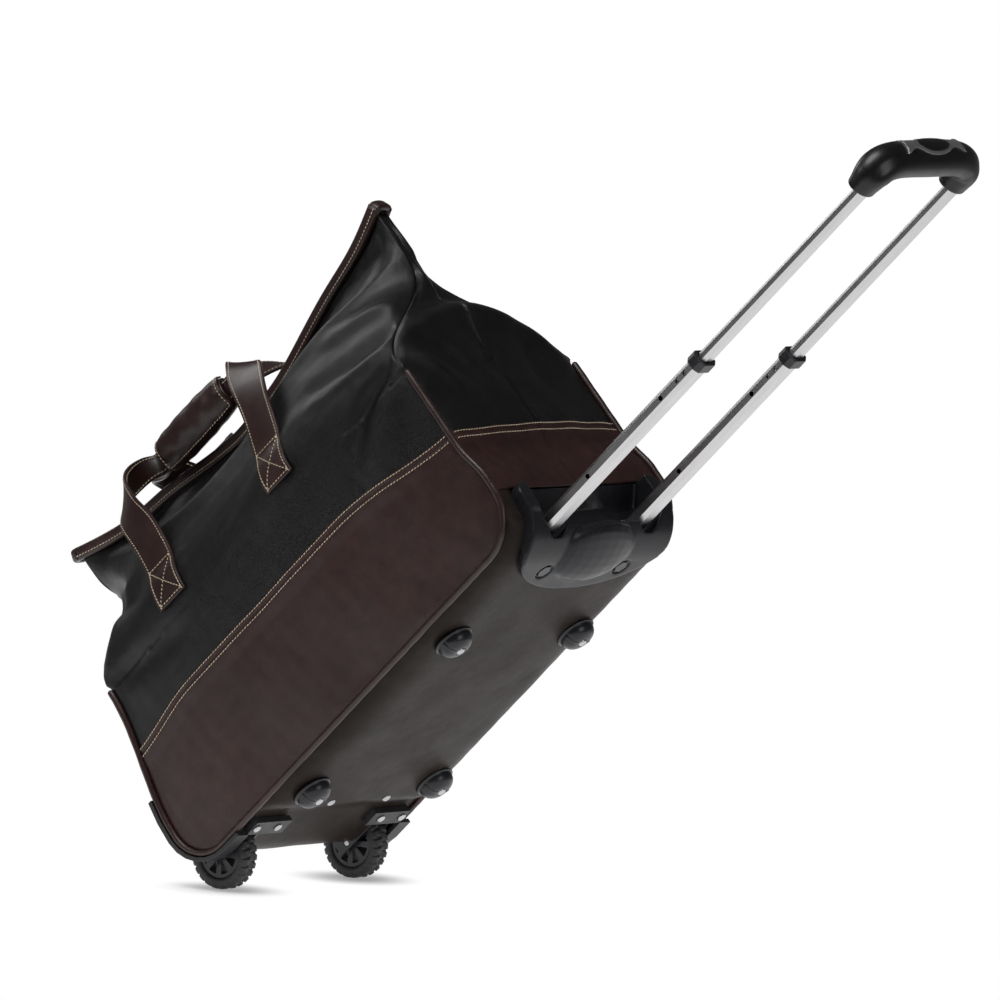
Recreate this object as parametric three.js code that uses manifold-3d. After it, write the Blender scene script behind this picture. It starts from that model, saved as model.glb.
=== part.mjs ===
// Soft two-tone rolling travel bag with a two-stage trolley handle.
// Millimetres, +Z up.  The bag stands on four feet and two wheels.  +X runs from the wheels to the
// trolley handle, -Y is the front side, and the mouth with its zip is on top.

import * as THREE from 'three';
import { mergeVertices } from 'three/addons/utils/BufferGeometryUtils.js';
import Module from 'manifold-3d';

const wasm = await Module();
wasm.setup();

// ---------------------------------------------------------------- driving dimensions
const GAP = 0.3;                 // running gap between neighbouring pieces
const LEATHER = 2.5;             // leather with its lining
const BAG_HALF = 271;            // centre to end, at the bottom piping
const SIDE_Y = 137;              // centre to the piping of a side panel
const PIPE_Z = 31;               // height of the bottom piping
const PIPE_R = 3.5;
const EDGE = PIPE_R + 1.8;       // the panels stop this far from the middle of the piping
const CORNER_R = { handle: 50, wheel: 42 };
const BASE_DROP = 14;            // the base panel hangs this far below the piping
const BASE_END = { handle: 0, wheel: 5 };  // it ends this far above the curve of the corner
const BASE_SAG = { wheel: [-184, -150], handle: [255, 270.5] };  // the sag fades over these
const PIPE_TOP = 237;            // the piping stops here, and the mouth starts to close
const SEAM_Z = { handle: 157, middle: 178, wheel: 168 };
const TAPER = { handle: 7, wheel: 31 };
const SIDE_BULGE = 9;
const BULGE_TALL = 290;          // the side panels swell over this height above the piping
const END_BULGE = { handle: 9, wheel: 20 };
const PINCH = [0.08, 0.7];       // the ends close to a fin over this share of the height
const FIN = 8;                   // half the thickness of that fin
const MOUTH_HALF = 10.5;         // half the gap that the side panels leave under the rim

const RIM_R = 690;               // the rim of the mouth sags along this arc
const RIM_X = -22;
const RIM_LOW = 395;
const RIM_TIP = { handle: 260, wheel: 262 };
const TIP_INSET = 4;             // the side panels end this far short of the rim's tips
const RIM_TALL = 14;
const RIM_Y = [4.8, 12.8];
const RIM_CENTRE = RIM_LOW + RIM_R;
const SLIDER_X = -39;

const FEET_X = [110, -128];
const FEET_Y = 100;
const FOOT_R = 21;
const FOOT_TOP = BASE_DROP + 2.6;
const FOOT_DOME = { r: 18.4, z0: 13.6, z1: 1.2 };
const RIVET_R = 4.8;
const BOARD = { x0: -150, x1: 180, y: 95, z0: 20.7, z1: 24.7 };

const WHEEL = { x: -252, y: 107, r: 36, width: 20, rim: 25, axle: 3 };
const HOUSING = { x0: -266, x1: -208, half: 15.5, wall: 3, z0: 30, z1: 77 };
const GUARD = { top: 120, from: -204, y: 16.2, lap: 4, inner: 4, outer: 8.5 };
const GUARD_FLAP = { x0: -206.5, x1: -187, y: 68, z0: 23.5, z1: 30.4 };
const GUARD_RIVETS = [118, 84];
const GUARD_RIVET_X = -196.5;

const RAIL_Y = 75;               // trolley tubes, centre to centre / 2
const RAIL_Z = 38;
const FIXED = { x0: -95, x1: 249.7, y: 27, z: 20, wall: 1.8, chamfer: 3 };
const MIDDLE = { x0: 190, x1: 507.7, y: 22, z: 15, wall: 1, chamfer: 4.2 };
const INNER = { x0: 462, x1: 773.5, y: 17.6, z: 11.6, wall: 1, chamfer: 3.4 };
const COLLAR = { x0: 508, x1: 520, y: 27, z: 20, chamfer: 5.2 };
const PIN_X = 497;
const PIN_HOLES = [PIN_X, 485, 458, 338];
const GRIP = { x: 809.5, rise: 9, end: [16, 14], middle: [17.5, 19] };
const BUTTON_LEAN = 12;          // the button faces away from the bag and a little upwards
const BUTTON = { half: 24.7, wide: 9.7, low: 10.5, high: 17.3 };
const SEAT = { floor: 5.5, level: 12.4 };

const CUP = { x0: 190, x1: 283, y: 116, z0: 11, z1: 80, floor: 22, back: 243, r: 50, nose: 60 };
const RECESS = { x: 250, y: 97, z: 30, notch: 17, wall: 62, roof: 269 };
const LEAF = { lean: 12, inside: 6, along: 38, across: 62, thick: 14 };
const CUP_BOLT = { x: 220, y: 63, r: 8.4, hole: 10.5 };

const STRAP = { legs: [75, -110], half: 20, neck: 12, thick: 3.4, foot: 252, free: 296 };
const WRAP = { x0: -103, x1: 5, y: -19, z: 425, ry: 15, rz: 20, slotY: 5.7, slotZ: 13.2 };
const FLAP = { from: 84, to: 236, thick: 2 };

// ---------------------------------------------------------------- small helpers
const V = (x, y, z) => new THREE.Vector3(x, y, z);
const lerp = THREE.MathUtils.lerp;
const smooth = THREE.MathUtils.smoothstep;
const ascending = (a, b) => [a, b].sort((m, n) => m - n);
const radians = THREE.MathUtils.degToRad;
const ENDS = ['handle', 'wheel'];
const END_SIGN = { handle: 1, wheel: -1 };
const SIDES = { front: -1, back: 1 };

function meshGeometry(points, triangles) {
  const geometry = new THREE.BufferGeometry();
  const flat = points.flatMap((p) => [p.x, p.y, p.z]);
  geometry.setAttribute('position', new THREE.Float32BufferAttribute(flat, 3));
  let volume = 0;
  for (const [a, b, c] of triangles) {
    volume += points[a].dot(points[b].clone().cross(points[c]));
  }
  const outward = volume > 0 ? triangles : triangles.map(([a, b, c]) => [a, c, b]);
  geometry.setIndex(outward.flat());
  return geometry;
}

// Closed slab between two grids of points that have the same rows and columns.
function slabBetween(outer, inner) {
  const rows = outer.length;
  const cols = outer[0].length;
  const points = [...outer.flat(), ...inner.flat()];
  const at = (layer, i, j) => layer * rows * cols + i * cols + j;
  const triangles = [];
  const quad = (a, b, c, d) => triangles.push([a, b, c], [a, c, d]);
  for (let i = 0; i < rows - 1; i++) {
    for (let j = 0; j < cols - 1; j++) {
      quad(at(0, i, j), at(0, i, j + 1), at(0, i + 1, j + 1), at(0, i + 1, j));
      quad(at(1, i, j), at(1, i + 1, j), at(1, i + 1, j + 1), at(1, i, j + 1));
    }
  }
  for (let i = 0; i < rows - 1; i++) {
    quad(at(0, i, 0), at(0, i + 1, 0), at(1, i + 1, 0), at(1, i, 0));
    quad(at(0, i + 1, cols - 1), at(0, i, cols - 1), at(1, i, cols - 1), at(1, i + 1, cols - 1));
  }
  for (let j = 0; j < cols - 1; j++) {
    quad(at(0, 0, j + 1), at(0, 0, j), at(1, 0, j), at(1, 0, j + 1));
    quad(at(0, rows - 1, j), at(0, rows - 1, j + 1), at(1, rows - 1, j + 1), at(1, rows - 1, j));
  }
  return meshGeometry(points, triangles);
}

// Leather panel: surface(u, v) is its outside, and the inside lies LEATHER behind it.
function panel(surface, us, vs) {
  const middle = V(0, 0, 190);
  const step = 1e-3;
  const outer = us.map((u) => vs.map((v) => surface(u, v)));
  const inner = us.map((u, i) => vs.map((v, j) => {
    const here = outer[i][j];
    const du = surface(u + step, v).sub(surface(u - step, v));
    const dv = surface(u, v + step).sub(surface(u, v - step));
    const normal = du.cross(dv).normalize();
    if (normal.dot(here.clone().sub(middle)) < 0) normal.negate();
    return here.clone().addScaledVector(normal, -LEATHER);
  }));
  return slabBetween(outer, inner);
}

// Solid through a row of convex loops that all have the same number of points.
function loft(loops) {
  const count = loops[0].length;
  const points = loops.flat();
  const triangles = [];
  for (let i = 0; i < loops.length - 1; i++) {
    for (let j = 0; j < count; j++) {
      const k = (j + 1) % count;
      const [a, b] = [i * count + j, i * count + k];
      triangles.push([a, b, b + count], [a, b + count, a + count]);
    }
  }
  const last = (loops.length - 1) * count;
  for (let j = 1; j < count - 1; j++) {
    triangles.push([0, j + 1, j], [last, last + j, last + j + 1]);
  }
  return meshGeometry(points, triangles);
}

const steps = (from, to, n) => Array.from({ length: n + 1 }, (_, i) => lerp(from, to, i / n));

function toSolid(geometry) {
  const bare = geometry.clone();
  bare.deleteAttribute('normal');
  bare.deleteAttribute('uv');
  const merged = mergeVertices(bare, 1e-4);
  return new wasm.Manifold(new wasm.Mesh({
    numProp: 3,
    vertProperties: new Float32Array(merged.attributes.position.array),
    triVerts: new Uint32Array(merged.index.array),
  }));
}

function toGeometry(solid) {
  const mesh = solid.getMesh();
  const geometry = new THREE.BufferGeometry();
  const step = mesh.numProp;
  const xyz = [];
  for (let i = 0; i < mesh.vertProperties.length; i += step) {
    xyz.push(mesh.vertProperties[i], mesh.vertProperties[i + 1], mesh.vertProperties[i + 2]);
  }
  geometry.setAttribute('position', new THREE.Float32BufferAttribute(xyz, 3));
  geometry.setIndex([...mesh.triVerts]);
  return geometry;
}

// Cutting tools reach past the bag: to BEYOND along X, and TALL upwards from UNDER.
const BEYOND = 320;
const UNDER = -5;
const TALL = 125;
const cut = (body, ...tools) => tools.reduce((a, b) => a.subtract(b), body);
const join = (body, ...more) => more.reduce((a, b) => a.add(b), body);

function boxGeometry(x0, x1, y0, y1, z0, z1) {
  const geometry = new THREE.BoxGeometry(x1 - x0, y1 - y0, z1 - z0);
  return geometry.translate((x0 + x1) / 2, (y0 + y1) / 2, (z0 + z1) / 2);
}

const boxSolid = (...limits) => toSolid(boxGeometry(...limits));

function outline(points) {
  return new THREE.Shape(points.map(([a, b]) => new THREE.Vector2(a, b)));
}

// Shape drawn in (y, z), extruded along +X from x0 to x1.
function alongX(shape, x0, x1, curveSegments = 12) {
  const geometry = new THREE.ExtrudeGeometry(shape, {
    depth: x1 - x0, bevelEnabled: false, curveSegments,
  });
  const axes = new THREE.Matrix4().makeBasis(V(0, 1, 0), V(0, 0, 1), V(1, 0, 0));
  return geometry.applyMatrix4(axes).translate(x0, 0, 0);
}

// Shape drawn in (x, z), extruded along Y from y0 to y1.
function alongY(shape, y0, y1, curveSegments = 12) {
  const geometry = new THREE.ExtrudeGeometry(shape, {
    depth: y1 - y0, bevelEnabled: false, curveSegments,
  });
  return geometry.applyMatrix4(new THREE.Matrix4().makeRotationX(Math.PI / 2)).translate(0, y1, 0);
}

// Cylinder with its axis along a row axis, centred on the given point.
function rod(axis, r, length, at, sides = 24) {
  const geometry = new THREE.CylinderGeometry(r, r, length, sides);
  if (axis === 'x') geometry.rotateZ(-Math.PI / 2);
  if (axis === 'z') geometry.rotateX(Math.PI / 2);
  return geometry.translate(...at);
}

function roundedRectangle(x0, x1, y0, y1, r) {
  const shape = new THREE.Shape();
  shape.absarc(x1 - r, y1 - r, r, 0, Math.PI / 2);
  shape.absarc(x0 + r, y1 - r, r, Math.PI / 2, Math.PI);
  shape.absarc(x0 + r, y0 + r, r, Math.PI, 1.5 * Math.PI);
  shape.absarc(x1 - r, y0 + r, r, 1.5 * Math.PI, 2 * Math.PI);
  return shape;
}

// ---------------------------------------------------------------- materials
const finish = (color, roughness, metalness = 0) =>
  new THREE.MeshStandardMaterial({ color, roughness, metalness });

const MATERIAL = {
  blackLeather: finish(0x1d1d1f, 0.45),
  brownLeather: finish(0x33201f, 0.42),
  baseLeather: finish(0x34312e, 0.4),
  brownTrim: finish(0x2f1b19, 0.38),
  blackPlastic: finish(0x17181a, 0.4),
  rubber: finish(0x1b1c1e, 0.75),
  board: finish(0x6a6258, 0.9),
  zipTape: finish(0x121213, 0.9),
  polished: finish(0xd6d7d9, 0.15, 1),
  satinSilver: finish(0xb9bbbe, 0.3, 1),
  steel: finish(0x9a9c9f, 0.35, 1),
  galvanised: finish(0x8a8d90, 0.5, 1),
};

const bag = new THREE.Group();

function add(name, geometry, material) {
  const mesh = new THREE.Mesh(geometry, material);
  mesh.name = name;
  bag.add(mesh);
  return mesh;
}

// ---------------------------------------------------------------- the outline of the bag
// Half length of the bag at height z, at one end.
function halfLength(end, z) {
  if (end === 'handle') {
    return BAG_HALF - TAPER.handle * smooth(z, 95, 140) - 4 * smooth(z, PIPE_TOP, 440);
  }
  const tapered = BAG_HALF - TAPER.wheel * smooth(z, 75, PIPE_TOP);
  return tapered + (RIM_TIP.wheel - BAG_HALF + TAPER.wheel) * smooth(z, PIPE_TOP, 430);
}

// Height of the underside of the rim above x.
const underRim = (x) => RIM_CENTRE - Math.sqrt((RIM_R + RIM_TALL) ** 2 - (x - RIM_X) ** 2) - 1;

// How far the mouth has closed at height z above x: 0 at the piping's top, 1 under the rim.
const closing = (x, z) => (z - PIPE_TOP) / (underRim(x) - PIPE_TOP);

const endOf = (p) => (p >= 0 ? 'handle' : 'wheel');

// How far the pinch at the ends has closed, for the share h of the way to the rim.
const pinchedHalf = (h) => FIN + (SIDE_Y - FIN) * (1 - smooth(h, ...PINCH));

// Half width of the bag at the ends, where the mouth is pinched to a fin.
function endHalfWidth(end, z) {
  return pinchedHalf(closing(END_SIGN[end] * RIM_TIP[end], z));
}

// Distance of a side panel's outside from the middle plane, p in [-1, 1] along the bag.
function sideDistance(p, x, z) {
  const bulge = SIDE_BULGE * (1 - p ** 4);
  const swellAt = (height) => bulge * Math.sin((Math.PI * (height - PIPE_Z)) / BULGE_TALL);
  if (z <= PIPE_TOP) return SIDE_Y + swellAt(z);
  const h = Math.min(closing(x, z), 1);
  const gable = MOUTH_HALF + (SIDE_Y + swellAt(PIPE_TOP) - MOUTH_HALF) * (1 - h ** 2.2);
  return lerp(gable, pinchedHalf(h), p ** 4);
}

// Half length of a side panel at height z: it keeps clear of the piping round its edge.
function panelHalf(end, z) {
  const r = CORNER_R[end];
  const top = PIPE_Z + r;
  if (z >= top) return halfLength(end, z) - EDGE;
  const drop = Math.min(top - z, r - EDGE);
  return BAG_HALF - r + Math.sqrt((r - EDGE) ** 2 - drop ** 2);
}

function seamZ(x) {
  const handle = (SEAM_Z.middle - SEAM_Z.handle) * smooth(x, 110, BAG_HALF);
  const wheel = (SEAM_Z.middle - SEAM_Z.wheel) * smooth(-x, 170, BAG_HALF);
  return SEAM_Z.middle - handle - wheel;
}

function sidePoint(side, p, z) {
  const x = p * panelHalf(endOf(p), z);
  return V(x, SIDES[side] * sideDistance(p, x, z), z);
}

// A lower side panel runs from the bottom piping to the seam.
function lowerSide(side) {
  return (p, t) => {
    const z0 = PIPE_Z + EDGE;
    const z1 = seamZ(p * BAG_HALF) - GAP / 2;
    return sidePoint(side, p, lerp(z0, z1, t));
  };
}

// An upper side panel runs from the seam to the underside of the rim.
function upperSide(side) {
  return (p, t) => {
    const z0 = seamZ(p * BAG_HALF) + GAP / 2;
    const x1 = p * RIM_TIP[endOf(p)] - Math.sign(p) * TIP_INSET;
    return sidePoint(side, p, lerp(z0, underRim(x1), t));
  };
}

const halfAlong = [0.2, 0.4, 0.6, 0.75, 0.86, 0.94, 1];
const alongSide = [...halfAlong.map((p) => -p).reverse(), 0, ...halfAlong];
const lowerRisers = [0, 0.015, 0.06, 0.13, 0.23, 0.36, 0.55, 0.8, 1];
for (const side of Object.keys(SIDES)) {
  const lower = panel(lowerSide(side), alongSide, lowerRisers);
  const upper = panel(upperSide(side), alongSide, steps(0, 1, 14));
  add(`${side}_panel_lower`, lower, MATERIAL.brownLeather);
  add(`${side}_panel_upper`, upper, MATERIAL.blackLeather);
}

// ---------------------------------------------------------------- end panels
// The end panel above the cup or the wheels, q in [-1, 1] from the front to the back.
function endPoint(end, q, z) {
  const y = q * (endHalfWidth(end, z) - EDGE);
  const fade = smooth(z, 90, 180) * (1 - smooth(z, 300, 360));
  const swell = END_BULGE[end] * (1 - q ** 2) * fade;
  return V(END_SIGN[end] * (halfLength(end, z) + swell), y, z);
}

const acrossEnd = steps(-1, 1, 8);
for (const end of ENDS) {
  const z0 = PIPE_Z + CORNER_R[end] + BASE_END[end] + GAP;
  const z1 = underRim(END_SIGN[end] * RIM_TIP[end]) - 1;
  const surface = (q, z) => endPoint(end, q, z);
  const lower = panel(surface, acrossEnd, steps(z0, SEAM_Z[end] - GAP / 2, 4));
  const upper = panel(surface, acrossEnd, steps(SEAM_Z[end] + GAP / 2, z1, 16));
  add(`${end}_end_lower`, lower, MATERIAL.brownLeather);
  add(`${end}_end_upper`, upper, MATERIAL.blackLeather);
}

// ---------------------------------------------------------------- base and piping
const BASE_STATIONS = [-215, -205, -184, -172, -161, -150, -60, 60, 150, 187];

// Points of the base line with outward normals, from the wheel end round to the handle end.
function baseLine(wheelTop, handleTop) {
  const line = [];
  const put = (x, z, angle) => line.push({ x, z, nx: Math.cos(angle), nz: Math.sin(angle) });
  const wheelZ = PIPE_Z + CORNER_R.wheel;
  const handleZ = PIPE_Z + CORNER_R.handle;
  const levels = (from, to) => steps(from, to, Math.max(1, Math.ceil(Math.abs(to - from) / 40)));
  for (const z of levels(wheelTop, wheelZ).slice(0, -1)) put(-halfLength('wheel', z), z, Math.PI);
  for (const a of steps(Math.PI, 1.5 * Math.PI, 6)) {
    const r = CORNER_R.wheel;
    put(-BAG_HALF + r + r * Math.cos(a), wheelZ + r * Math.sin(a), a);
  }
  for (const x of BASE_STATIONS) put(x, PIPE_Z, 1.5 * Math.PI);
  for (const a of steps(1.5 * Math.PI, 2 * Math.PI, 8)) {
    const r = CORNER_R.handle;
    put(BAG_HALF - r + r * Math.cos(a), handleZ + r * Math.sin(a), a);
  }
  for (const z of levels(handleZ, handleTop).slice(1)) put(halfLength('handle', z), z, 0);
  return line;
}

// Plan of the trolley cup: a rounded nose under the bag, and straight sides out to the end.
function cupPlan(margin) {
  const shape = new THREE.Shape();
  const middle = CUP.x0 + CUP.nose;
  const half = CUP.y + margin;
  shape.absellipse(middle, 0, CUP.nose + margin, half, Math.PI / 2, 1.5 * Math.PI);
  shape.lineTo(BEYOND, -half);
  shape.lineTo(BEYOND, half);
  shape.closePath();
  const tall = { depth: TALL, bevelEnabled: false, curveSegments: 16 };
  return toSolid(new THREE.ExtrudeGeometry(shape, tall).translate(0, 0, UNDER));
}

function basePanel() {
  const wheelTop = PIPE_Z + CORNER_R.wheel + BASE_END.wheel;
  const handleTop = PIPE_Z + CORNER_R.handle + BASE_END.handle;
  const line = baseLine(wheelTop, handleTop + 0.01);
  const halfAcross = [0.5, 0.78, 0.86, 0.93, 1];
  const across = [...halfAcross.map((q) => -q).reverse(), 0, ...halfAcross];
  const grid = (depth) => line.map(({ x, z, nx, nz }) => across.map((q) => {
    const spread = smooth(x, ...BASE_SAG.wheel) * (1 - smooth(x, ...BASE_SAG.handle));
    const out = BASE_DROP * spread * (1 - Math.abs(q) ** 10) - depth;
    return V(x + nx * out, q * (SIDE_Y - EDGE), z + nz * out);
  }));
  const skin = toSolid(slabBetween(grid(0), grid(LEATHER)));
  const wells = Object.values(SIDES).map((s) => {
    const half = HOUSING.half + 0.5;
    const span = ascending(s * (WHEEL.y - half), s * (WHEEL.y + half));
    return boxSolid(-BEYOND, HOUSING.x1 + 0.5, ...span, UNDER, UNDER + TALL);
  });
  return toGeometry(cut(skin, cupPlan(GAP), ...wells));
}

add('base_panel', basePanel(), MATERIAL.baseLeather);
const board = boxGeometry(BOARD.x0, BOARD.x1, -BOARD.y, BOARD.y, BOARD.z0, BOARD.z1);
add('base_board', board, MATERIAL.board);

function piping(side) {
  const y = SIDES[side] * SIDE_Y;
  const loops = baseLine(PIPE_TOP, PIPE_TOP).map(({ x, z, nx, nz }) =>
    steps(0, 2 * Math.PI, 8).slice(0, -1).map((a) => {
      const out = PIPE_R * Math.cos(a);
      return V(x + nx * out, y + PIPE_R * Math.sin(a), z + nz * out);
    }));
  return loft(loops);
}

for (const side of Object.keys(SIDES)) {
  add(`${side}_piping`, piping(side), MATERIAL.brownTrim);
}

// ---------------------------------------------------------------- mouth: bound rims and zip
// Band along the rim's arc.  Depths are measured down from the top of the rim.
function arcBand(y0, y1, depth0, depth1, x0, x1, count) {
  const a0 = Math.asin((x0 - RIM_X) / RIM_R);
  const a1 = Math.asin((x1 - RIM_X) / RIM_R);
  return loft(steps(a0, a1, count).map((a) => {
    const at = (y, depth) => {
      const r = RIM_R + depth;
      return V(RIM_X + r * Math.sin(a), y, RIM_CENTRE - r * Math.cos(a));
    };
    return [at(y0, depth0), at(y1, depth0), at(y1, depth1), at(y0, depth1)];
  }));
}

for (const [side, s] of Object.entries(SIDES)) {
  const rim = arcBand(s * RIM_Y[0], s * RIM_Y[1], 0, RIM_TALL, -RIM_TIP.wheel, RIM_TIP.handle, 24);
  add(`${side}_rim`, rim, MATERIAL.brownTrim);
  const tape = arcBand(s * 0.6, s * 4.4, 4, 7, -RIM_TIP.wheel + 6, RIM_TIP.handle - 6, 24);
  add(`${side}_zip_tape`, tape, MATERIAL.zipTape);
}

// The slider rides on the tapes, and its pull is hinged on the slider's bridge.
function onRim(x, depth) {
  const a = Math.asin((x - RIM_X) / RIM_R);
  const r = RIM_R + depth;
  return { x: RIM_X + r * Math.sin(a), z: RIM_CENTRE - r * Math.cos(a), a };
}

const PULL_EYE = 3.2;            // the pull's hinge line, above the rim's top

function zipSlider() {
  const plate = boxSolid(-7, 7, -4.2, 4.2, -3.4, 0.4);
  const bridge = boxSolid(-5, 5, -1.3, 1.3, 0.2, 5.6);
  const eye = toSolid(rod('y', 1.4, 6, [0, 0, PULL_EYE], 16));
  return toGeometry(cut(join(plate, bridge), eye));
}

function zipPull() {
  const hinge = toSolid(rod('y', 1, 6.4, [0, 0, PULL_EYE], 16));
  const arms = [-1, 1].map((s) => boxSolid(-9, 0.9, s * 2.4 - 0.7, s * 2.4 + 0.7, 2.3, 4.1));
  const tab = boxSolid(-20, -7.4, -3.1, 3.1, 2.3, 4.1);
  return toGeometry(join(hinge, ...arms, tab));
}

const slider = onRim(SLIDER_X, 0);
for (const [name, geometry] of [['zip_slider', zipSlider()], ['zip_pull', zipPull()]]) {
  const mesh = add(name, geometry, MATERIAL.satinSilver);
  mesh.position.set(slider.x, 0, slider.z);
  mesh.rotation.y = -slider.a;
}

// ---------------------------------------------------------------- feet
// Turned piece about the Z axis, from a profile of (radius, height) that runs downwards.
function turned(profile, sides) {
  const upward = profile.map(([r, z]) => new THREE.Vector2(r, z)).reverse();
  return new THREE.LatheGeometry(upward, sides).rotateX(Math.PI / 2);
}

function footGeometry() {
  const { r, z0, z1 } = FOOT_DOME;
  const dome = steps(0, Math.PI / 2, 4).slice(1, 4);
  const profile = [
    [0, FOOT_TOP], [FOOT_R, FOOT_TOP], [FOOT_R, z0 + 0.8], [r, z0],
    ...dome.map((a) => [r * Math.cos(a), z0 - (z0 - z1) * Math.sin(a)]),
    [RIVET_R + 0.5, z1], [RIVET_R + 0.5, 3], [0, 3],
  ];
  return turned(profile, 18);
}

// Rivet head: flat on top, rounded edge, standing from z0 down to z1.
function rivetGeometry(z0, z1) {
  const profile = [[0, z0], [RIVET_R, z0], [RIVET_R, (z0 + z1) / 2], [RIVET_R - 1, z1], [0, z1]];
  return turned(profile, 12);
}

for (const [side, s] of Object.entries(SIDES)) {
  FEET_X.forEach((x, i) => {
    const place = `${side}_${ENDS[i]}`;
    add(`foot_${place}`, footGeometry(), MATERIAL.blackPlastic).position.set(x, s * FEET_Y, 0);
    add(`foot_rivet_${place}`, rivetGeometry(2.7, 0), MATERIAL.steel).position.set(x, s * FEET_Y, 0);
  });
}

// ---------------------------------------------------------------- wheels
function ring(outer, hole) {
  const shape = new THREE.Shape();
  shape.absarc(0, 0, outer, 0, 2 * Math.PI);
  const inside = new THREE.Path();
  inside.absarc(0, 0, hole, 0, 2 * Math.PI, true);
  shape.holes.push(inside);
  return shape;
}

function tyreGeometry() {
  const lugs = 20;
  const low = WHEEL.r - 2.4;
  const points = [];
  for (let i = 0; i < lugs; i++) {
    for (const [part, r] of [[0, low], [0.3, low], [0.38, WHEEL.r], [0.92, WHEEL.r]]) {
      const a = (2 * Math.PI * (i + part)) / lugs;
      points.push([r * Math.cos(a), r * Math.sin(a)]);
    }
  }
  const shape = outline(points);
  const hole = new THREE.Path();
  hole.absarc(0, 0, WHEEL.rim, 0, 2 * Math.PI, true);
  shape.holes.push(hole);
  return alongY(shape, -WHEEL.width / 2, WHEEL.width / 2, 16);
}

function hubGeometry() {
  const spokes = 8;
  const [rim, boss] = [21, 8];
  const [spokeHalf, taper] = [0.16, 0.14];   // radians
  const shape = ring(WHEEL.rim - GAP, WHEEL.axle + GAP);
  const polar = (r, a) => [r * Math.cos(a), r * Math.sin(a)];
  for (let i = 0; i < spokes; i++) {
    const a0 = (2 * Math.PI * i) / spokes + spokeHalf;
    const a1 = (2 * Math.PI * (i + 1)) / spokes - spokeHalf;
    const outer = steps(a0, a1, 3).map((a) => polar(rim, a));
    const inner = [a1 - taper, a0 + taper].map((a) => polar(boss, a));
    shape.holes.push(new THREE.Path(outline([...outer, ...inner]).getPoints().reverse()));
  }
  return alongY(shape, -WHEEL.width / 2 + 2, WHEEL.width / 2 - 2, 12);
}

function housingGeometry(s) {
  const { x0, x1, half, wall, z0, z1 } = HOUSING;
  const span = (h) => ascending(s * (WHEEL.y - h), s * (WHEEL.y + h));
  const shell = boxSolid(x0, x1, ...span(half), z0, z1);
  const room = boxSolid(-BEYOND, x1 - 4, ...span(half - wall), UNDER, z1 - 2.5);
  const bore = toSolid(rod('y', WHEEL.axle + GAP, 60, [WHEEL.x, s * WHEEL.y, WHEEL.r]));
  return toGeometry(cut(shell, room, bore));
}

// Rubber guard: a band over the piping at the corner, and a riveted flap on the base.
function guardGeometry(s) {
  const line = baseLine(GUARD.top, PIPE_TOP).filter(({ x }) => x <= GUARD.from);
  const [y0, y1] = [WHEEL.y + GUARD.y, SIDE_Y + GUARD.lap];
  const band = loft(line.map(({ x, z, nx, nz }) => {
    const at = (y, out) => V(x + nx * out, s * y, z + nz * out);
    return [at(y0, GUARD.inner), at(y1, GUARD.inner), at(y1, GUARD.outer), at(y0, GUARD.outer)];
  }));
  const { x0, x1, y, z0, z1 } = GUARD_FLAP;
  const flap = boxSolid(x0, x1, ...ascending(s * y, s * (WHEEL.y + 18)), z0, z1);
  return toGeometry(join(toSolid(band), flap));
}

for (const [side, s] of Object.entries(SIDES)) {
  const at = [WHEEL.x, s * WHEEL.y, WHEEL.r];
  add(`tyre_${side}`, tyreGeometry(), MATERIAL.rubber).position.set(...at);
  add(`hub_${side}`, hubGeometry(), MATERIAL.blackPlastic).position.set(...at);
  add(`axle_${side}`, rod('y', WHEEL.axle, 31, at), MATERIAL.steel);
  add(`wheel_housing_${side}`, housingGeometry(s), MATERIAL.blackPlastic);
  add(`wheel_guard_${side}`, guardGeometry(s), MATERIAL.rubber);
  GUARD_RIVETS.forEach((y, i) => {
    const rivet = add(`guard_rivet_${side}_${i + 1}`, rivetGeometry(23.2, 21.6), MATERIAL.steel);
    rivet.position.set(GUARD_RIVET_X, s * y, 0);
  });
}

// ---------------------------------------------------------------- trolley cup
// Smooth raised boss on the rounded lower corner of the cup.
function cupLeaf() {
  const lean = radians(LEAF.lean);
  const reach = CUP.r - LEAF.inside;
  const ball = new THREE.SphereGeometry(1, 20, 12).scale(LEAF.along, LEAF.across, LEAF.thick);
  const x = CUP.x1 - CUP.r + reach * Math.sin(lean);
  const z = CUP.z0 + CUP.r - reach * Math.cos(lean);
  return toSolid(ball.rotateY(-lean).translate(x, 0, z));
}

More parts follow.
